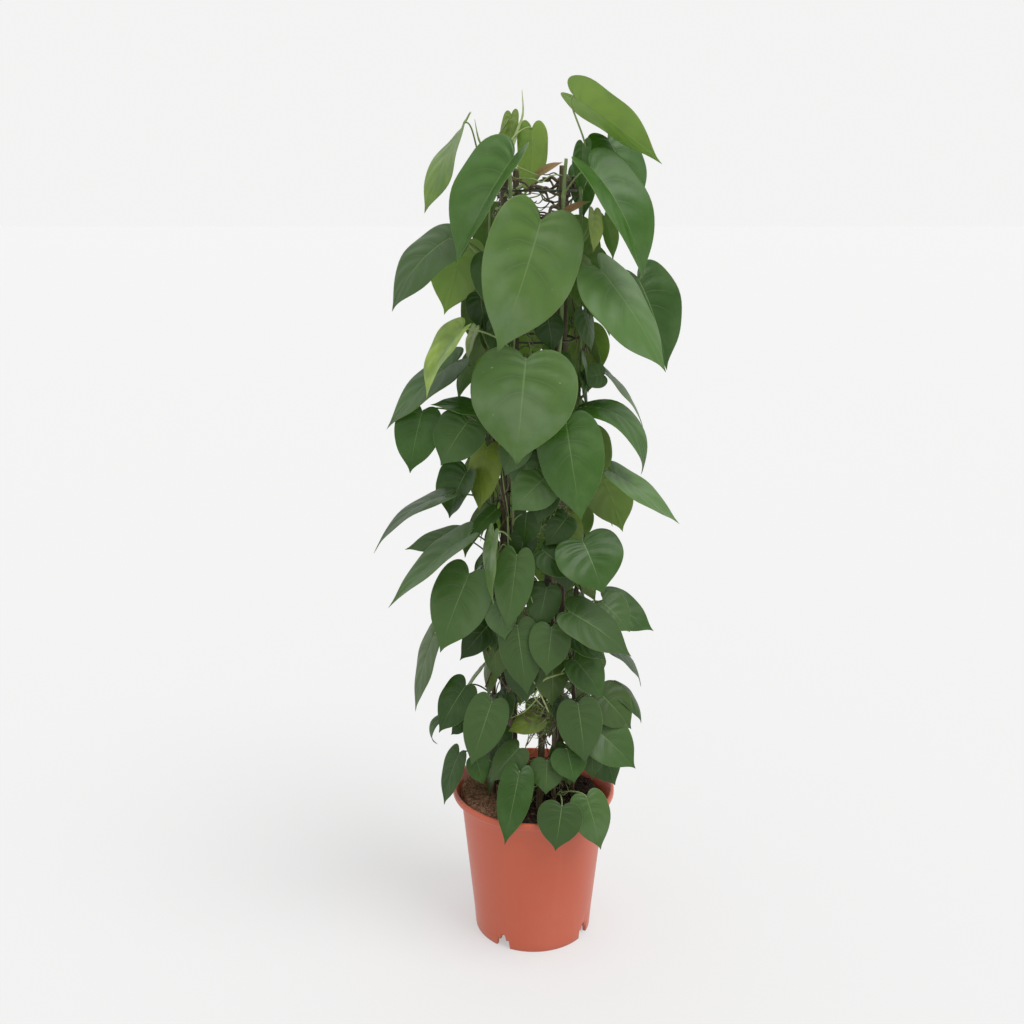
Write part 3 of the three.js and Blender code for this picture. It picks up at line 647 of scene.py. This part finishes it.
# Rack: bamboo canes with a ring at each joint, and coated wire hoops round them
canes = {
    "ends": [
        ((4, -45), (34, -30), 1114),
        ((41, 20), (38, 25), 1104),
        ((-30, 34), (-27, 37), 1112),
        ((-44, -12), (-42, -18), 1098),
    ],
    "foot": 40,
    "radius": 5.0,
    "ring": 0.8,  # how far a joint stands proud
    "firstRing": 200,
    "ringStep": 230,
    "sides": 20,
}


def makeCane(number):
    # straight axis; the radius swells to a ring and pinches above it at each joint, and drifts a little
    c = canes
    (fx, fy), (tx, ty), high = c["ends"][number]
    foot, top = np.array([fx, fy, c["foot"]]), np.array([tx, ty, high])
    length = np.linalg.norm(top - foot)
    along = np.linspace(0, length, 260)
    joint = (along - c["firstRing"] - 52 * number + c["ringStep"] / 2) % c["ringStep"] - c["ringStep"] / 2
    joint = np.where(along < c["firstRing"] + 52 * number - 40, 99, joint)
    radius = c["radius"] - 0.25 * along / length + c["ring"] * np.exp(-((joint / 2.2) ** 2))
    radius -= 0.45 * np.exp(-(((joint - 5.5) / 3.0) ** 2)) - 0.08 * np.sin(along / 37 + number)
    path = foot + (top - foot) * (along / length)[:, None]
    points = tubes(path[None] / 1000, radius[None] / 1000, c["sides"])
    makePiece(f"bambooCane{number + 1}", [part(points, "agedBamboo")], f"cane_{number + 1}")


hoops = {"heights": [403, 562, 668, 891, 1083], "radius": 52.1, "wire": 1.5}


def makeHoop(number):
    # a ring of wire: the section circle carried round the big circle
    turn = np.linspace(0, 2 * np.pi, 97)[None, :]
    section = np.linspace(0, 2 * np.pi, 12, endpoint=False)[:, None]
    out = hoops["radius"] + hoops["wire"] * np.cos(section)
    high = hoops["heights"][number] + hoops["wire"] * np.sin(section) + 0 * turn
    points = np.stack([out * np.cos(turn), out * np.sin(turn), high], axis=-1) / 1000
    ring = part(points[None], "coatedWire")
    makePiece(f"wireHoop{number + 1}", [ring], f"hoop_{number + 1}")


for number in range(len(canes["ends"])):
    makeCane(number)
for number in range(len(hoops["heights"])):
    makeHoop(number)
print("rack made")


# Vines. A stem winds outside the hoops: turns are its bearings at the foot, half way and at the top.
# Leaf rows: where the petiole joins and the tip (across, up, forward, read from the eye), width, the way
# the upper side faces, its tilt up, bend of the midrib, fold of the halves and age (0 old, 1 grown,
# 2 young, 3 dried); where they differ from petioleDrop and 0, the drop to the node and the twist.
# Millimetres and degrees.
petioleDrop = 34
vines = {
    "frontLeft": {
        "turns": (-38, -26, -34),
        "top": 1128,
        "shoot": [(-27, 1152, 36), (-18, 1178, 30), (-19, 1208, 26)],
        "leaves": [
            (-6, 1160, 12, -16, 1074, 16, 54, 138, 15, 30, 8, 2),
            (-30, 1126, 75, -107, 988, 97, 112, -44, 25, 18, 36, 0.5),
            (2, 1104, 30, 34, 1119, 34, 13, 0, 40, 20, 20, 3, -6),
            (6, 1045, 98, -52, 870, 118, 130, 22, 22, 25, 20, 1.1, 34, 1),
            (-58, 1000, 66, -28, 912, 74, 70, -10, 25, 30, -5, 0),
            (-99, 903, 72, -149, 808, 80, 98, -70, 30, 38, 16, 2),
            (-13, 862, 112, -25, 714, 132, 138, -3, 25, 25, -6, 1.05),
            (-93, 776, 70, -131, 714, 78, 74, -18, 25, 30, 8, 0.3),
            (-58, 615, 114, -58, 509, 120, 72, -76, 20, 25, 8, 1.2),
            (-25, 584, 88, -38, 470, 100, 54, 0, 25, 25, -6, 1),
            (-93, 556, 66, -136, 436, 76, 86, -12, 25, 30, -6, 1),
            (-50, 512, 80, -42, 456, 88, 46, 0, 25, 20, -5, 1),
            (-24, 478, 85, -9, 370, 98, 60, -5, 20, 25, -8, 1),
            (-62, 358, 82, -93, 256, 95, 60, 0, 25, 30, -6, 1),
            (10, 336, 62, -38, 312, 70, 38, 0, 45, 25, 5, 2),
            (-22, 285, 74, -66, 229, 84, 46, -15, 35, 20, -6, 1),
            (-85, 268, 70, -75, 225, 75, 34, 10, 20, 20, 5, 0),
            (-21, 246, 100, -43, 124, 134, 49, 0, 20, 35, -6, 0),
        ],
    },
    "frontRight": {
        "turns": (30, 24, 38),
        "top": 1122,
        "leaves": [
            (71, 1112, 72, 143, 966, 90, 98, 40, 28, 46, 28, 0.1),
            (38, 1056, 60, 71, 1070, 66, 12, 10, 40, 25, 20, 3),
            (43, 774, 88, 66, 634, 108, 88, -8, 25, 30, -8, 0.2),
            (13, 697, 78, -33, 649, 92, 62, 0, 30, 25, -5, 1),
            (45, 640, 62, 15, 598, 72, 42, 0, 25, 25, 5, 0),
            (68, 606, 72, 98, 527, 100, 98, 15, 28, 30, 12, 0.1),
            (12, 592, 70, 60, 550, 85, 48, 10, 30, 25, 5, 0),
            (51, 500, 90, 141, 432, 98, 76, 35, 50, 25, 6, 0.8),
            (25, 475, 92, 18, 400, 104, 58, 5, 25, 25, -6, 1),
            (50, 468, 60, 105, 425, 64, 46, 30, 60, 15, 5, 0),
            (60, 426, 60, 101, 366, 68, 62, 36, 30, 30, 14, 0),
            (65, 356, 88, 77, 262, 100, 64, 5, 25, 25, -6, 1),
            (86, 292, 60, 88, 235, 66, 36, 15, 20, 20, 5, 0),
            (50, 283, 88, 62, 229, 100, 52, 5, 25, 25, -8, 0),
            (20, 265, 80, 19, 209, 98, 50, 0, 30, 25, -6, 1),
            (80, 206, 104, 103, 118, 122, 58, 15, 20, 25, -6, 1),
            (43, 190, 122, 34, 115, 142, 64, 0, 10, 15, -6, 0.7),
        ],
    },
    "left": {
        "turns": (-84, -78, -92),
        "top": 1096,
        "shoot": [(-66, 1128, 0), (-75, 1148, 4), (-80, 1172, 6)],
        "leaves": [
            (-33, 1177, -15, -34, 1122, -10, 42, -56, 20, 15, 8, 2),
            (-93, 1168, 10, -147, 1054, 5, 96, -88, 20, 15, 4, 1.4, 34, -45),
            (-112, 1024, 35, -193, 926, 40, 106, -50, 35, 50, 4, 0.7),
            (-96, 1015, -25, -123, 922, -20, 78, 165, 20, 20, -8, 1.5),
            (-74, 948, 10, -66, 898, 15, 46, -20, 20, 25, 8, 0),
            (-80, 905, 15, -92, 858, 15, 44, -72, 20, 25, 10, 2),
            (-107, 860, 18, -205, 765, 22, 96, -60, 45, 25, 8, 0),
            (-72, 793, 45, -144, 800, 60, 60, -10, 75, 12, 10, 0),
            (-155, 790, 30, -174, 703, 35, 68, -15, 20, 25, 8, 0),
            (-66, 740, 30, -78, 648, 35, 54, -30, 20, 25, -5, 2),
            (-95, 706, 28, -120, 638, 34, 80, -38, 45, 30, 28, 0),
            (-125, 672, 72, -228, 586, 76, 72, -84, 40, 50, 8, 0),
            (-56, 650, 55, -92, 610, 60, 32, -30, 50, 20, 5, 0),
            (-104, 614, 8, -184, 592, 10, 52, -45, 55, 12, 5, 1),
            (-96, 612, 65, -210, 504, 70, 80, -72, 42, 18, 14, 0.7),
            (-62, 484, 25, -108, 424, 28, 46, -20, 30, 20, 8, 0),
            (-145, 463, 5, -174, 343, 5, 72, -68, 25, 18, 4, 1.1),
            (-100, 384, 50, -140, 309, 58, 64, -42, 25, 18, 6, 0),
            (-134, 335, 15, -142, 291, 15, 24, -70, 30, 130, 5, 0),
            (-101, 328, 30, -122, 306, 32, 24, -30, 40, 30, 5, 0),
            (-111, 276, 40, -134, 191, 45, 48, -52, 20, 20, 6, 0),
        ],
    },
    "right": {
        "turns": (82, 88, 78),
        "top": 1088,
        "leaves": [
            (48, 1200, 42, 163, 1116, 48, 94, 129, 48, 8, 17, 1.7),
            (92, 1148, 0, 126, 1047, 6, 84, 28, 35, 45, 6, 0),
            (60, 1141, 20, 62, 1082, 30, 38, -55, 20, 20, 8, 0),
            (76, 1056, 25, 75, 1003, 30, 40, 60, 20, 20, 10, 2),
            (90, 1050, -15, 102, 994, -10, 44, 120, 20, 20, 10, 1),
            (86, 982, 70, 177, 845, 75, 110, 45, 30, 18, -6, 1),
            (135, 972, -25, 178, 848, -25, 112, 40, 25, 25, 18, 0),
            (98, 844, -20, 148, 770, -20, 70, 86, 35, 30, 5, 1),
            (92, 842, 5, 56, 836, 10, 36, 0, 25, 20, 5, 1),
            (70, 798, 40, 147, 702, 55, 72, 62, 30, 120, 5, 0),
            (73, 764, 35, 90, 688, 40, 62, 160, 15, 25, -8, 1.3),
            (108, 706, 48, 203, 632, 54, 72, 68, 40, 15, 8, 1),
            (92, 702, 10, 124, 620, 14, 76, 165, 20, 20, -5, 1.5),
            (58, 562, 40, 88, 515, 40, 36, 150, 20, 20, 5, 1),
            (100, 518, 30, 172, 472, 32, 60, 35, 35, 15, 8, 0),
            (98, 515, 55, 138, 470, 62, 62, 30, 35, 25, 5, 1),
            (112, 445, 20, 156, 385, 22, 60, 90, 35, 60, 5, 0),
            (122, 388, 24, 158, 327, 32, 44, 70, 35, 60, -10, 0.4),
            (98, 374, 46, 144, 318, 52, 64, 18, 30, 25, 8, 1.1),
            (88, 321, 62, 152, 254, 74, 72, 18, 30, 25, 12, 0.8),
            (100, 286, 45, 122, 226, 50, 58, 30, 30, 25, -6, 0),
        ],
    },
    "rearLeft": {
        "turns": (-140, -150, -138),
        "top": 1066,
        "leaves": [],
    },
    "rearRight": {
        "turns": (142, 150, 136),
        "top": 1060,
        "leaves": [
            (57, 1110, -42, 62, 1048, -36, 40, 20, 25, 25, 8, 0),
            (66, 903, -62, 85, 838, -58, 62, 168, 15, 25, -8, 2),
        ],
    },
}

stems = {
    "pathRadius": 58.5,
    "foot": 150,
    "rings": 170,
    "sides": 12,
    "radius": 3.3,
    "knuckle": 0.9,  # how far a node swells
}

blade = {
    "thickness": 0.62,
    "outline": [
        (0, 0), (-0.050, 0.08), (-0.090, 0.19), (-0.118, 0.34), (-0.118, 0.52), (-0.080, 0.70),
        (-0.005, 0.86), (0.100, 0.965), (0.220, 1.0), (0.345, 0.985), (0.460, 0.925), (0.565, 0.82),
        (0.665, 0.67), (0.755, 0.48), (0.835, 0.275), (0.920, 0.09), (1, 0),
    ],
    "columns": 32,
    "rows": [0, 0.02, 0.07, 0.16, 0.29, 0.44, 0.59, 0.74, 0.87, 0.965, 1],
    "quilt": 0.017,  # swelling between side veins, as a share of the half width
    "midribDip": 0.5,
    "midribRidge": 0.9,
}

petiole = {"radius": 1.3, "steps": 20, "sides": 8}


def place(spots):
    # a reading is across and up on the upright plane through the axis; forward slides it along the sight line
    across, up, forward = np.moveaxis(np.asarray(spots, float), -1, 0)
    reach, eye = 1000 * camera["distance"], 1000 * camera["height"]
    share = (reach - forward) / reach
    return np.stack([across * share, -forward, eye + (up - eye) * share], axis=-1)


def stemAt(vine, height):
    # bearing: a quadratic swing through the three turns, with a sway; the radius breathes a little
    height = np.asarray(height, float)
    share = np.maximum(0, (height - 250) / (vine["top"] - 250))
    low, middle, high = vine["turns"]
    swing = low * (1 - share) ** 2 + 2 * middle * share * (1 - share) + high * share**2
    turn = swing + 16 * share * (1 - share) * np.sin(share * 19 + low)
    radius = stems["pathRadius"] + 2.2 * np.sin(share * 23 + high) ** 2 * np.minimum(1, share * 8)
    return np.stack([*roundAxis(turn, radius), height], axis=-1)


def bladeFrames(start, tip, table, seeds):
    # the midrib's direction, the upper side's direction square to it, and the side between them
    width, faces, tilt, bend, fold, age, _, twist = table.T
    rib = tip - start
    length = np.linalg.norm(rib, axis=-1)
    rib = unit(rib)
    turn, rise = np.radians(faces), np.radians(tilt)
    up = np.stack([np.cos(rise) * np.sin(turn), -np.cos(rise) * np.cos(turn), np.sin(rise)], axis=-1)
    up = unit(up - rib * np.sum(up * rib, axis=-1, keepdims=True))
    return {
        "start": start,
        "rib": rib,
        "up": up,
        "side": np.cross(rib, up),
        "length": length,
        "half": width / 2,
        "bend": np.radians(bend),
        "fold": np.radians(fold),
        "twist": np.radians(twist),
        "phase": 6.28 * luck(seeds),
        "age": age,
        "luck": luck(seeds + 0.5),
    }


def bladePoint(leaf, along, across):
    # the midrib is an arc from junction to tip; the halves fold up from it and droop, and the edge waves
    many = {k: v[:, None, None] if v.ndim == 1 else v[:, None, None, :] for k, v in leaf.items()}
    bend, half = many["bend"], many["half"]
    radius = many["length"] / 2 / np.sin(bend / 2)
    angle = bend / 2 - bend * along
    forth = radius * (np.sin(bend / 2) - np.sin(angle))
    rise = radius * (np.cos(angle) - np.cos(bend / 2))
    angle = angle[..., None]
    normal = many["up"] * np.cos(angle) - many["rib"] * np.sin(angle)
    turn = (many["twist"] * np.clip(along, 0, 1))[..., None]
    over = many["side"] * np.cos(turn) - normal * np.sin(turn)
    high = many["side"] * np.sin(turn) + normal * np.cos(turn)
    out = across * half
    soft = 0.12 * half
    spread = np.sqrt(out**2 + soft**2) - soft
    wave = 0.035 * half * across**2 * np.sin(11 * along + many["phase"] + 2.2 * np.sign(across))
    lift = spread * np.sin(many["fold"]) - 0.1 * out**2 / half + wave
    point = many["start"] + many["rib"] * forth[..., None] + many["up"] * rise[..., None]
    return point + over * (out * np.cos(many["fold"]))[..., None] + high * lift[..., None]


def bladePart(leaf):
    # grid: round the section (upper side left to right, underside back) and from junction to tip; a column
    # runs from the midrib straight to the outline, so columns fan out of the junction as the veins do
    b = blade
    share = np.linspace(0, 1, b["columns"] + 1)
    edge = smoothThrough(b["outline"], share)
    row = np.array(b["rows"])
    row = np.concatenate([-row[:0:-1], row])
    row = np.concatenate([row, row[::-1]])[:, None]
    below = np.repeat([0.0, 1.0], len(row) // 2)[:, None]
    ribAt = share**2.4
    along = ribAt + (edge[:, 0] - ribAt) * np.abs(row)
    across = edge[:, 1] * row
    step = 1e-3
    ahead = bladePoint(leaf, along + step, across) - bladePoint(leaf, along - step, across)
    aside = bladePoint(leaf, along, across + step) - bladePoint(leaf, along, across - step)
    normal = unit(np.cross(aside, ahead))
    bow = share - leafFinish["veinBow"] * row**2
    swell = np.cos(2 * np.pi * leafFinish["veinCount"] * bow)
    half = leaf["half"][:, None, None]
    quilt = b["quilt"] * half * swell * np.sin(np.pi * np.abs(row)) ** 0.7 * np.sin(np.pi * share) ** 0.5
    near = np.exp(-((across * half / 1.3) ** 2)) * (1 - share) ** 0.5 * np.clip(share * 30, 0, 1)
    lift = quilt - b["midribDip"] * near * (1 - below)
    shut = np.clip(np.minimum(share, 1 - share) * 60, 0.15, 1)
    thick = b["thickness"] / 2 * shut * np.where(np.abs(row) > 0.99, 0.55, 1)
    lift = lift + (thick + b["midribRidge"] * near * below) * (1 - 2 * below)
    points = (bladePoint(leaf, along, across) + normal * lift[..., None]) / 1000
    marks = np.zeros(points.shape[:3] + (4,))
    marks[..., 0] = (leaf["age"] / 3)[:, None, None]
    marks[..., 1] = below
    # lower leaves and those near the rack are darker: painted shade, and partly their greater age
    middle = leaf["start"] + leaf["rib"] * leaf["length"][:, None] / 2
    clear = np.maximum((np.hypot(middle[:, 0], middle[:, 1]) - 55) / 55, (middle[:, 2] - 1020) / 80)
    lit = np.clip(clear, 0, 1)
    paintedShade = (0.55 + 0.45 * np.clip(middle[:, 2] / 900, 0, 1)) * (0.68 + 0.32 * lit)
    marks[..., 2] = (paintedShade * (0.75 + 0.5 * leaf["luck"]))[:, None, None]
    marks[..., 3] = 1
    flat = np.stack(np.broadcast_arrays(share, (row + 1) / 2), axis=-1)
    return part(points, "leafSkin", marks, flat)


def stemPart(vine, nodes):
    # the stem's radius tapers to the top and swells at each node; above the soil it greens
    height = np.linspace(stems["foot"], vine["top"], stems["rings"])
    share = (height - height[0]) / (height[-1] - height[0])
    radius = stems["radius"] * (1 - 0.35 * share)
    near = np.min(np.abs(height[:, None] - np.sort(nodes)[None]), axis=1)
    radius = radius + stems["knuckle"] * np.exp(-((near / 3.5) ** 2))
    points = tubes(stemAt(vine, height)[None] / 1000, radius[None] / 1000, stems["sides"])
    marks = np.zeros((1, 1, len(height) + 2, 4))
    marks[0, 0, 1:-1, 0] = np.clip(0.95 - 0.75 * share, 0, 1)
    marks[0, 0, 1:-1, 1] = 0.35 + 0.4 * np.exp(-((near / 4) ** 2))
    marks[..., 2] = 0.5
    return part(points, "stemSkin", marks)


def petiolePart(vine, leaf, node):
    # a cubic curve: out of the stem at its node, up, and down into the blade's junction from beneath
    away = -0.8 * leaf["up"] - 0.6 * leaf["rib"]
    neck = leaf["start"] + away * 0.2
    foot = stemAt(vine, node)
    outward = unit(foot * (1, 1, 0))
    reach = np.linalg.norm(foot - neck, axis=-1, keepdims=True)
    low = foot + outward * 0.28 * reach + (0, 0, 0.34) * reach
    high = neck + away * 0.18 * reach
    u = np.linspace(0, 1, petiole["steps"])[None, :, None]
    neck, high, low, foot = neck[:, None], high[:, None], low[:, None], foot[:, None]
    path = neck * (1 - u) ** 3 + 3 * high * u * (1 - u) ** 2 + 3 * low * u**2 * (1 - u) + foot * u**3
    size = petiole["radius"] * (0.75 + 0.35 * (reach / (reach + 60)))
    radius = size * (0.85 + 0.15 * u[..., 0] + 0.55 * np.clip(u[..., 0] * 6 - 5, 0, 1) ** 2)
    points = tubes(path / 1000, radius / 1000, petiole["sides"])
    marks = tint(0.12 + 0.25 * luck(leaf["luck"] * 91), 0.25 + 0.2 * leaf["age"], leaf["luck"])
    return part(points, "stemSkin", marks)


def shootPart(vine):
    # a leaf still rolled up: a thin spike through its places
    knots = np.vstack([stemAt(vine, vine["top"] - 8), place(vine["shoot"])])
    share = np.linspace(0, 1, 40)
    radius = np.interp(share, [0, 0.34, 0.67, 1], [1.5, 2.1, 1.3, 0.25]) * (1 + 0.08 * np.sin(share * 60))
    points = tubes(smoothThrough(knots, share)[None] / 1000, radius[None] / 1000, 10)
    return part(points, "stemSkin", (0, 0.8, 0.7, 1))


rearLeaves = {
    "count": 42,
    "seed": 300.81,
    "turn": 0.69,
    "bare": (2, 7, 12),
    "lowest": 308,
    "rise": 812,
    "tilt": 26,
}


def rearRows(rightSide):
    # the back of the plant: leaves in a golden-section spiral, each hanging out and down, a few places bare
    k = np.arange(rearLeaves["count"], dtype=float)
    k = k[~np.isin(k, rearLeaves["bare"])]
    turn = 180 + 76 * (2 * ((0.618 * k + rearLeaves["turn"]) % 1) - 1)
    k, turn = k[(turn < 180) == rightSide], turn[(turn < 180) == rightSide]
    pick = [luck(10 * k + i + rearLeaves["seed"]) for i in range(9)]
    share = 1 - k / (rearLeaves["count"] - 1)
    height = rearLeaves["lowest"] + share * (rearLeaves["rise"] - 70 * np.cos(np.radians(turn - 180)))
    out = 80 + 4 * pick[1]
    length = 70 + 48 * share + 18 * pick[2]
    start = *roundAxis(turn, out), height
    tip = *roundAxis(turn + 10 * (pick[3] - 0.5), out + 30 + 14 * pick[4]), height - 0.92 * length
    age = np.where(pick[0] > 0.8, 2.0, np.where(pick[0] > 0.4, 1.0, 0.0))
    width, faces = length * (0.74 + 0.1 * pick[5]), turn + 16 * (pick[6] - 0.5)
    bend, fold = 20 + 14 * pick[7], 8 * pick[8] - 8
    return start, tip, (width, faces, rearLeaves["tilt"], bend, fold, age, petioleDrop, 0)


innerLeaves = {"count": 15, "lowest": 262, "highest": 1010, "seed": 40.0, "drop": 18}


def innerRows(number, vine):
    # small old leaves close to the rack, between the tall ones: each hangs beside its own stem
    k = np.arange(innerLeaves["count"], dtype=float)
    pick = [luck(10 * k + i + innerLeaves["seed"] + 31 * number) for i in range(9)]
    low, high = innerLeaves["lowest"], innerLeaves["highest"]
    height = low + (high - low) * (k + pick[0]) / len(k)
    at = stemAt(vine, height)
    turn = np.degrees(np.arctan2(at[:, 0], -at[:, 1])) + 44 * (pick[1] - 0.5)
    length = 46 + 24 * pick[2]
    start = *roundAxis(turn, 62 + 5 * pick[3]), height
    tip = *roundAxis(turn + 30 * (pick[4] - 0.5), 67 + 12 * pick[5]), height - 0.93 * length
    width, faces = length * (0.74 + 0.12 * pick[6]), turn + 40 * (pick[7] - 0.5)
    bend, age = 16 + 16 * pick[8], 1.7 * pick[2] ** 2
    return start, tip, (width, faces, 22, bend, -5, age, innerLeaves["drop"], 0)


def readVine(number, name, vine):
    # the rows read from the eye, then those of the rule for this vine
    rows = [(*row, *(petioleDrop, 0)[len(row) - 12 :]) for row in vine["leaves"]]
    rows = np.array(rows, float).reshape(-1, 14)
    read = place(rows[:, 0:3]), place(rows[:, 3:6]), rows[:, 6:14]
    ruled = rearRows(name == "rearRight") if name.startswith("rear") else innerRows(number, vine)
    ruled = [np.stack(np.broadcast_arrays(*columns), axis=-1) for columns in ruled]
    start, tip, table = [np.concatenate(pair) for pair in zip(read, ruled)]
    leaf = bladeFrames(start, tip, table, 100 * number + 1 + np.arange(len(start)))
    node = np.clip(start[:, 2] - table[:, 6], 232, vine["top"] - 4)
    return leaf, node


def makeVine(number, name, vine):
    leaf, node = readVine(number, name, vine)
    parts = [bladePart(leaf), stemPart(vine, node), petiolePart(vine, leaf, node)]
    if "shoot" in vine:
        parts.append(shootPart(vine))
    makePiece(f"philodendronVine_{name}", parts, f"vine_{name}")


for number, (name, vine) in enumerate(vines.items()):
    makeVine(number, name, vine)
print("vines made")


# Aerial roots and moss: curves round the rack, wandering up and down. Each group holds its count, seed,
# heights, turns, span round the rack, climb, thickness, radius from the axis and share of woody ones.
roots = {
    "topNet": (46, 21.0, (1052, 1104), (-180, 180), 95, 34, (1.0, 3.0), (40, 57), 0.8),
    "middle": (80, 47.0, (300, 1040), (-180, 180), 70, 70, (0.5, 1.4), (40, 57), 0.75),
    "steep": (60, 83.0, (320, 1010), (-180, 180), 26, 150, (0.6, 1.6), (44, 62), 0.6),
    "footNet": (44, 219.0, (214, 262), (-180, 180), 80, 34, (0.8, 2.0), (22, 54), 0.6),
    "mossHigh": (110, 131.0, (628, 690), (8, 66), 26, 20, (0.25, 0.6), (56, 68), 0.3),
    "mossLow": (70, 177.0, (338, 408), (-22, 46), 24, 30, (0.25, 0.7), (56, 70), 0.25),
}


def wander(group):
    # bearing grows evenly; height and radius follow three waves with their own phases
    count, seed, (low, high), (first, last), span, climb, (thin, thick), (near, far), woody = roots[group]
    pick = [luck(seed + 9.0 * np.arange(count) + i)[:, None] for i in range(9)]
    u = np.linspace(0, 1, 30)[None, :]
    turn = first + (last - first) * pick[0] + span * (0.4 + 0.6 * pick[1]) * (u - 0.5)
    height = low + (high - low) * pick[2] + climb * (pick[3] - 0.5) * 2 * (u - 0.5)
    height = height + 4.0 * np.sin(7 * u + 6.28 * pick[4]) + 2.0 * np.sin(17 * u + 6.28 * pick[5])
    radius = near + (far - near) * pick[6] + 2.5 * np.sin(9 * u + 6.28 * pick[7])
    turn = turn + 3 * np.sin(13 * u + 6.28 * pick[8])
    path = np.stack([*roundAxis(turn, radius), height], axis=-1) / 1000
    size = (thin + (thick - thin) * pick[5] ** 2) * (1 - 0.45 * np.abs(2 * u - 1)) / 1000
    marks = tint(np.where(pick[1][:, 0] < woody, 1.0, 0.15), 0.6, pick[3][:, 0])
    return part(tubes(path, size, 6), "stemSkin", marks)


makePiece("aerialRootsTop", [wander("topNet")])
makePiece("aerialRootsRack", [wander("middle"), wander("steep"), wander("footNet")])
makePiece("rackMoss", [wander("mossHigh"), wander("mossLow")])

# Twigs and roots that show between the leaves: woody share, pale share, radius, places along each
twigs = [
    (0.9, 0.1, 1.3, [(-60, 764, 28), (-52, 705, 34), (-39, 642, 42)]),
    (0.1, 0.7, 1.1, [(-51, 762, 34), (-45, 700, 40), (-36, 640, 44)]),
    (0.8, 0.2, 0.9, [(-44, 758, 40), (-56, 712, 34), (-46, 650, 40)]),
    (0.1, 0.9, 2.0, [(-38, 642, 46), (-36, 606, 48), (-33, 570, 48)]),
    (0.0, 1.0, 0.9, [(-50, 592, 42), (-44, 601, 46), (-37, 595, 48)]),
    (0.0, 1.0, 0.8, [(-31, 602, 48), (-15, 605, 54), (0, 590, 54)]),
    (0.3, 0.9, 1.1, [
        (25, 640, 50), (32, 656, 52), (42, 662, 46), (55, 654, 34), (57, 640, 32), (48, 631, 40),
    ]),
    (0.4, 0.8, 1.0, [(30, 634, 52), (38, 648, 50), (50, 645, 40), (44, 634, 44), (34, 640, 50)]),
    (0.1, 0.9, 0.9, [(-5, 523, 68), (2, 500, 69), (10, 477, 68)]),
    (0.1, 0.8, 0.8, [(6, 521, 67), (12, 501, 69), (14, 479, 68)]),
    (0.8, 0.5, 1.8, [(-15, 500, 68), (-10, 493, 70), (-5, 485, 70)]),
    (1.0, 0.1, 1.5, [(-76, 458, 26), (-59, 420, 42), (-40, 381, 56)]),
    (1.0, 0.1, 1.3, [(-71, 383, 30), (-56, 424, 42), (-42, 464, 54)]),
    (0.0, 1.0, 0.8, [(-69, 461, 32), (-65, 449, 36), (-62, 440, 38)]),
    (0.2, 0.9, 1.8, [(0, 370, 70), (14, 394, 70), (30, 402, 64), (48, 407, 52)]),
    (0.7, 0.4, 1.2, [(-20, 346, 66), (0, 320, 68), (20, 291, 64)]),
    (0.9, 0.2, 1.3, [(40, 351, 54), (25, 318, 64), (12, 287, 66)]),
    (0.6, 0.6, 0.9, [(-10, 290, 68), (15, 330, 68), (38, 338, 56)]),
    (0.0, 1.0, 1.3, [(0, 392, 74), (12, 368, 72), (22, 344, 70)]),
    (0.3, 0.8, 1.0, [(-22, 388, 68), (-4, 372, 72), (14, 352, 72)]),
    (0.5, 0.7, 1.1, [(44, 398, 58), (28, 372, 66), (10, 340, 70)]),
    (0.2, 0.9, 0.9, [(-34, 334, 62), (-12, 346, 68), (10, 372, 72)]),
    (1.0, 0.3, 1.6, [(68, 952, 6), (72, 912, 8), (66, 874, 8)]),
    (1.0, 0.1, 1.2, [(60, 948, 18), (64, 905, 20), (71, 868, 8)]),
]


def makeTwigs():
    # a smooth curve through the places, thinner at both ends, with a slight kink
    share = np.linspace(0, 1, 30)
    woody, pale, thick, places = zip(*twigs)
    paths = np.array([smoothThrough(place(spots), share) for spots in places]) / 1000
    thick = np.array(thick)[:, None] * (1 - 0.35 * np.abs(2 * share - 1)) * (1 + 0.12 * np.sin(31 * share))
    twigParts = [part(tubes(paths, thick / 1000, 8), "stemSkin", tint(woody, pale, 0.5))]
    makePiece("rackTwigs", twigParts)


makeTwigs()
print("roots made")


# Floor and light
studio = {
    "floor": 0.36,
    "glow": 0.413,
    "world": 0.90,
    "sun": 1.65,
    "sunTurn": (30, 0, 55),
    "softness": 36,
    "reach": 90,
}


def makeStudio():
    tree, place = newFinish("paleFloor")
    cloud = noise(tree, place, 0.8, 2.0)
    level = studio["floor"]
    body = mixColours(tree, cloud, (level, level, level), (level * 0.99, level * 0.99, level * 0.985))
    glow = {"Emission_Color": (1, 1, 1, 1), "Emission_Strength": studio["glow"]}
    endFinish(tree, body, 0.9, Specular_IOR_Level=0.1, **glow)
    mesh = bpy.data.meshes.new("studioFloor")
    size = studio["reach"]
    corners = [(-size, -size, 0), (size, -size, 0), (size, size, 0), (-size, size, 0)]
    mesh.from_pydata(corners, [], [(0, 1, 2, 3)])
    mesh.materials.append(bpy.data.materials["paleFloor"])
    floor = show("studioFloor", mesh)
    world = bpy.data.worlds.new("softRoom")
    world.use_nodes = True
    sky = world.node_tree.nodes["Background"]
    sky.inputs[0].default_value = (1, 1, 0.995, 1)
    sky.inputs[1].default_value = studio["world"]
    bpy.context.scene.world = world
    lamp = bpy.data.lights.new("softSun", "SUN")
    lamp.energy = studio["sun"]
    lamp.angle = math.radians(studio["softness"])
    sun = show("softSun", lamp)
    sun.rotation_euler = [math.radians(v) for v in studio["sunTurn"]]


makeStudio()
bpy.context.scene.view_settings.view_transform = "Standard"
print("studio made")
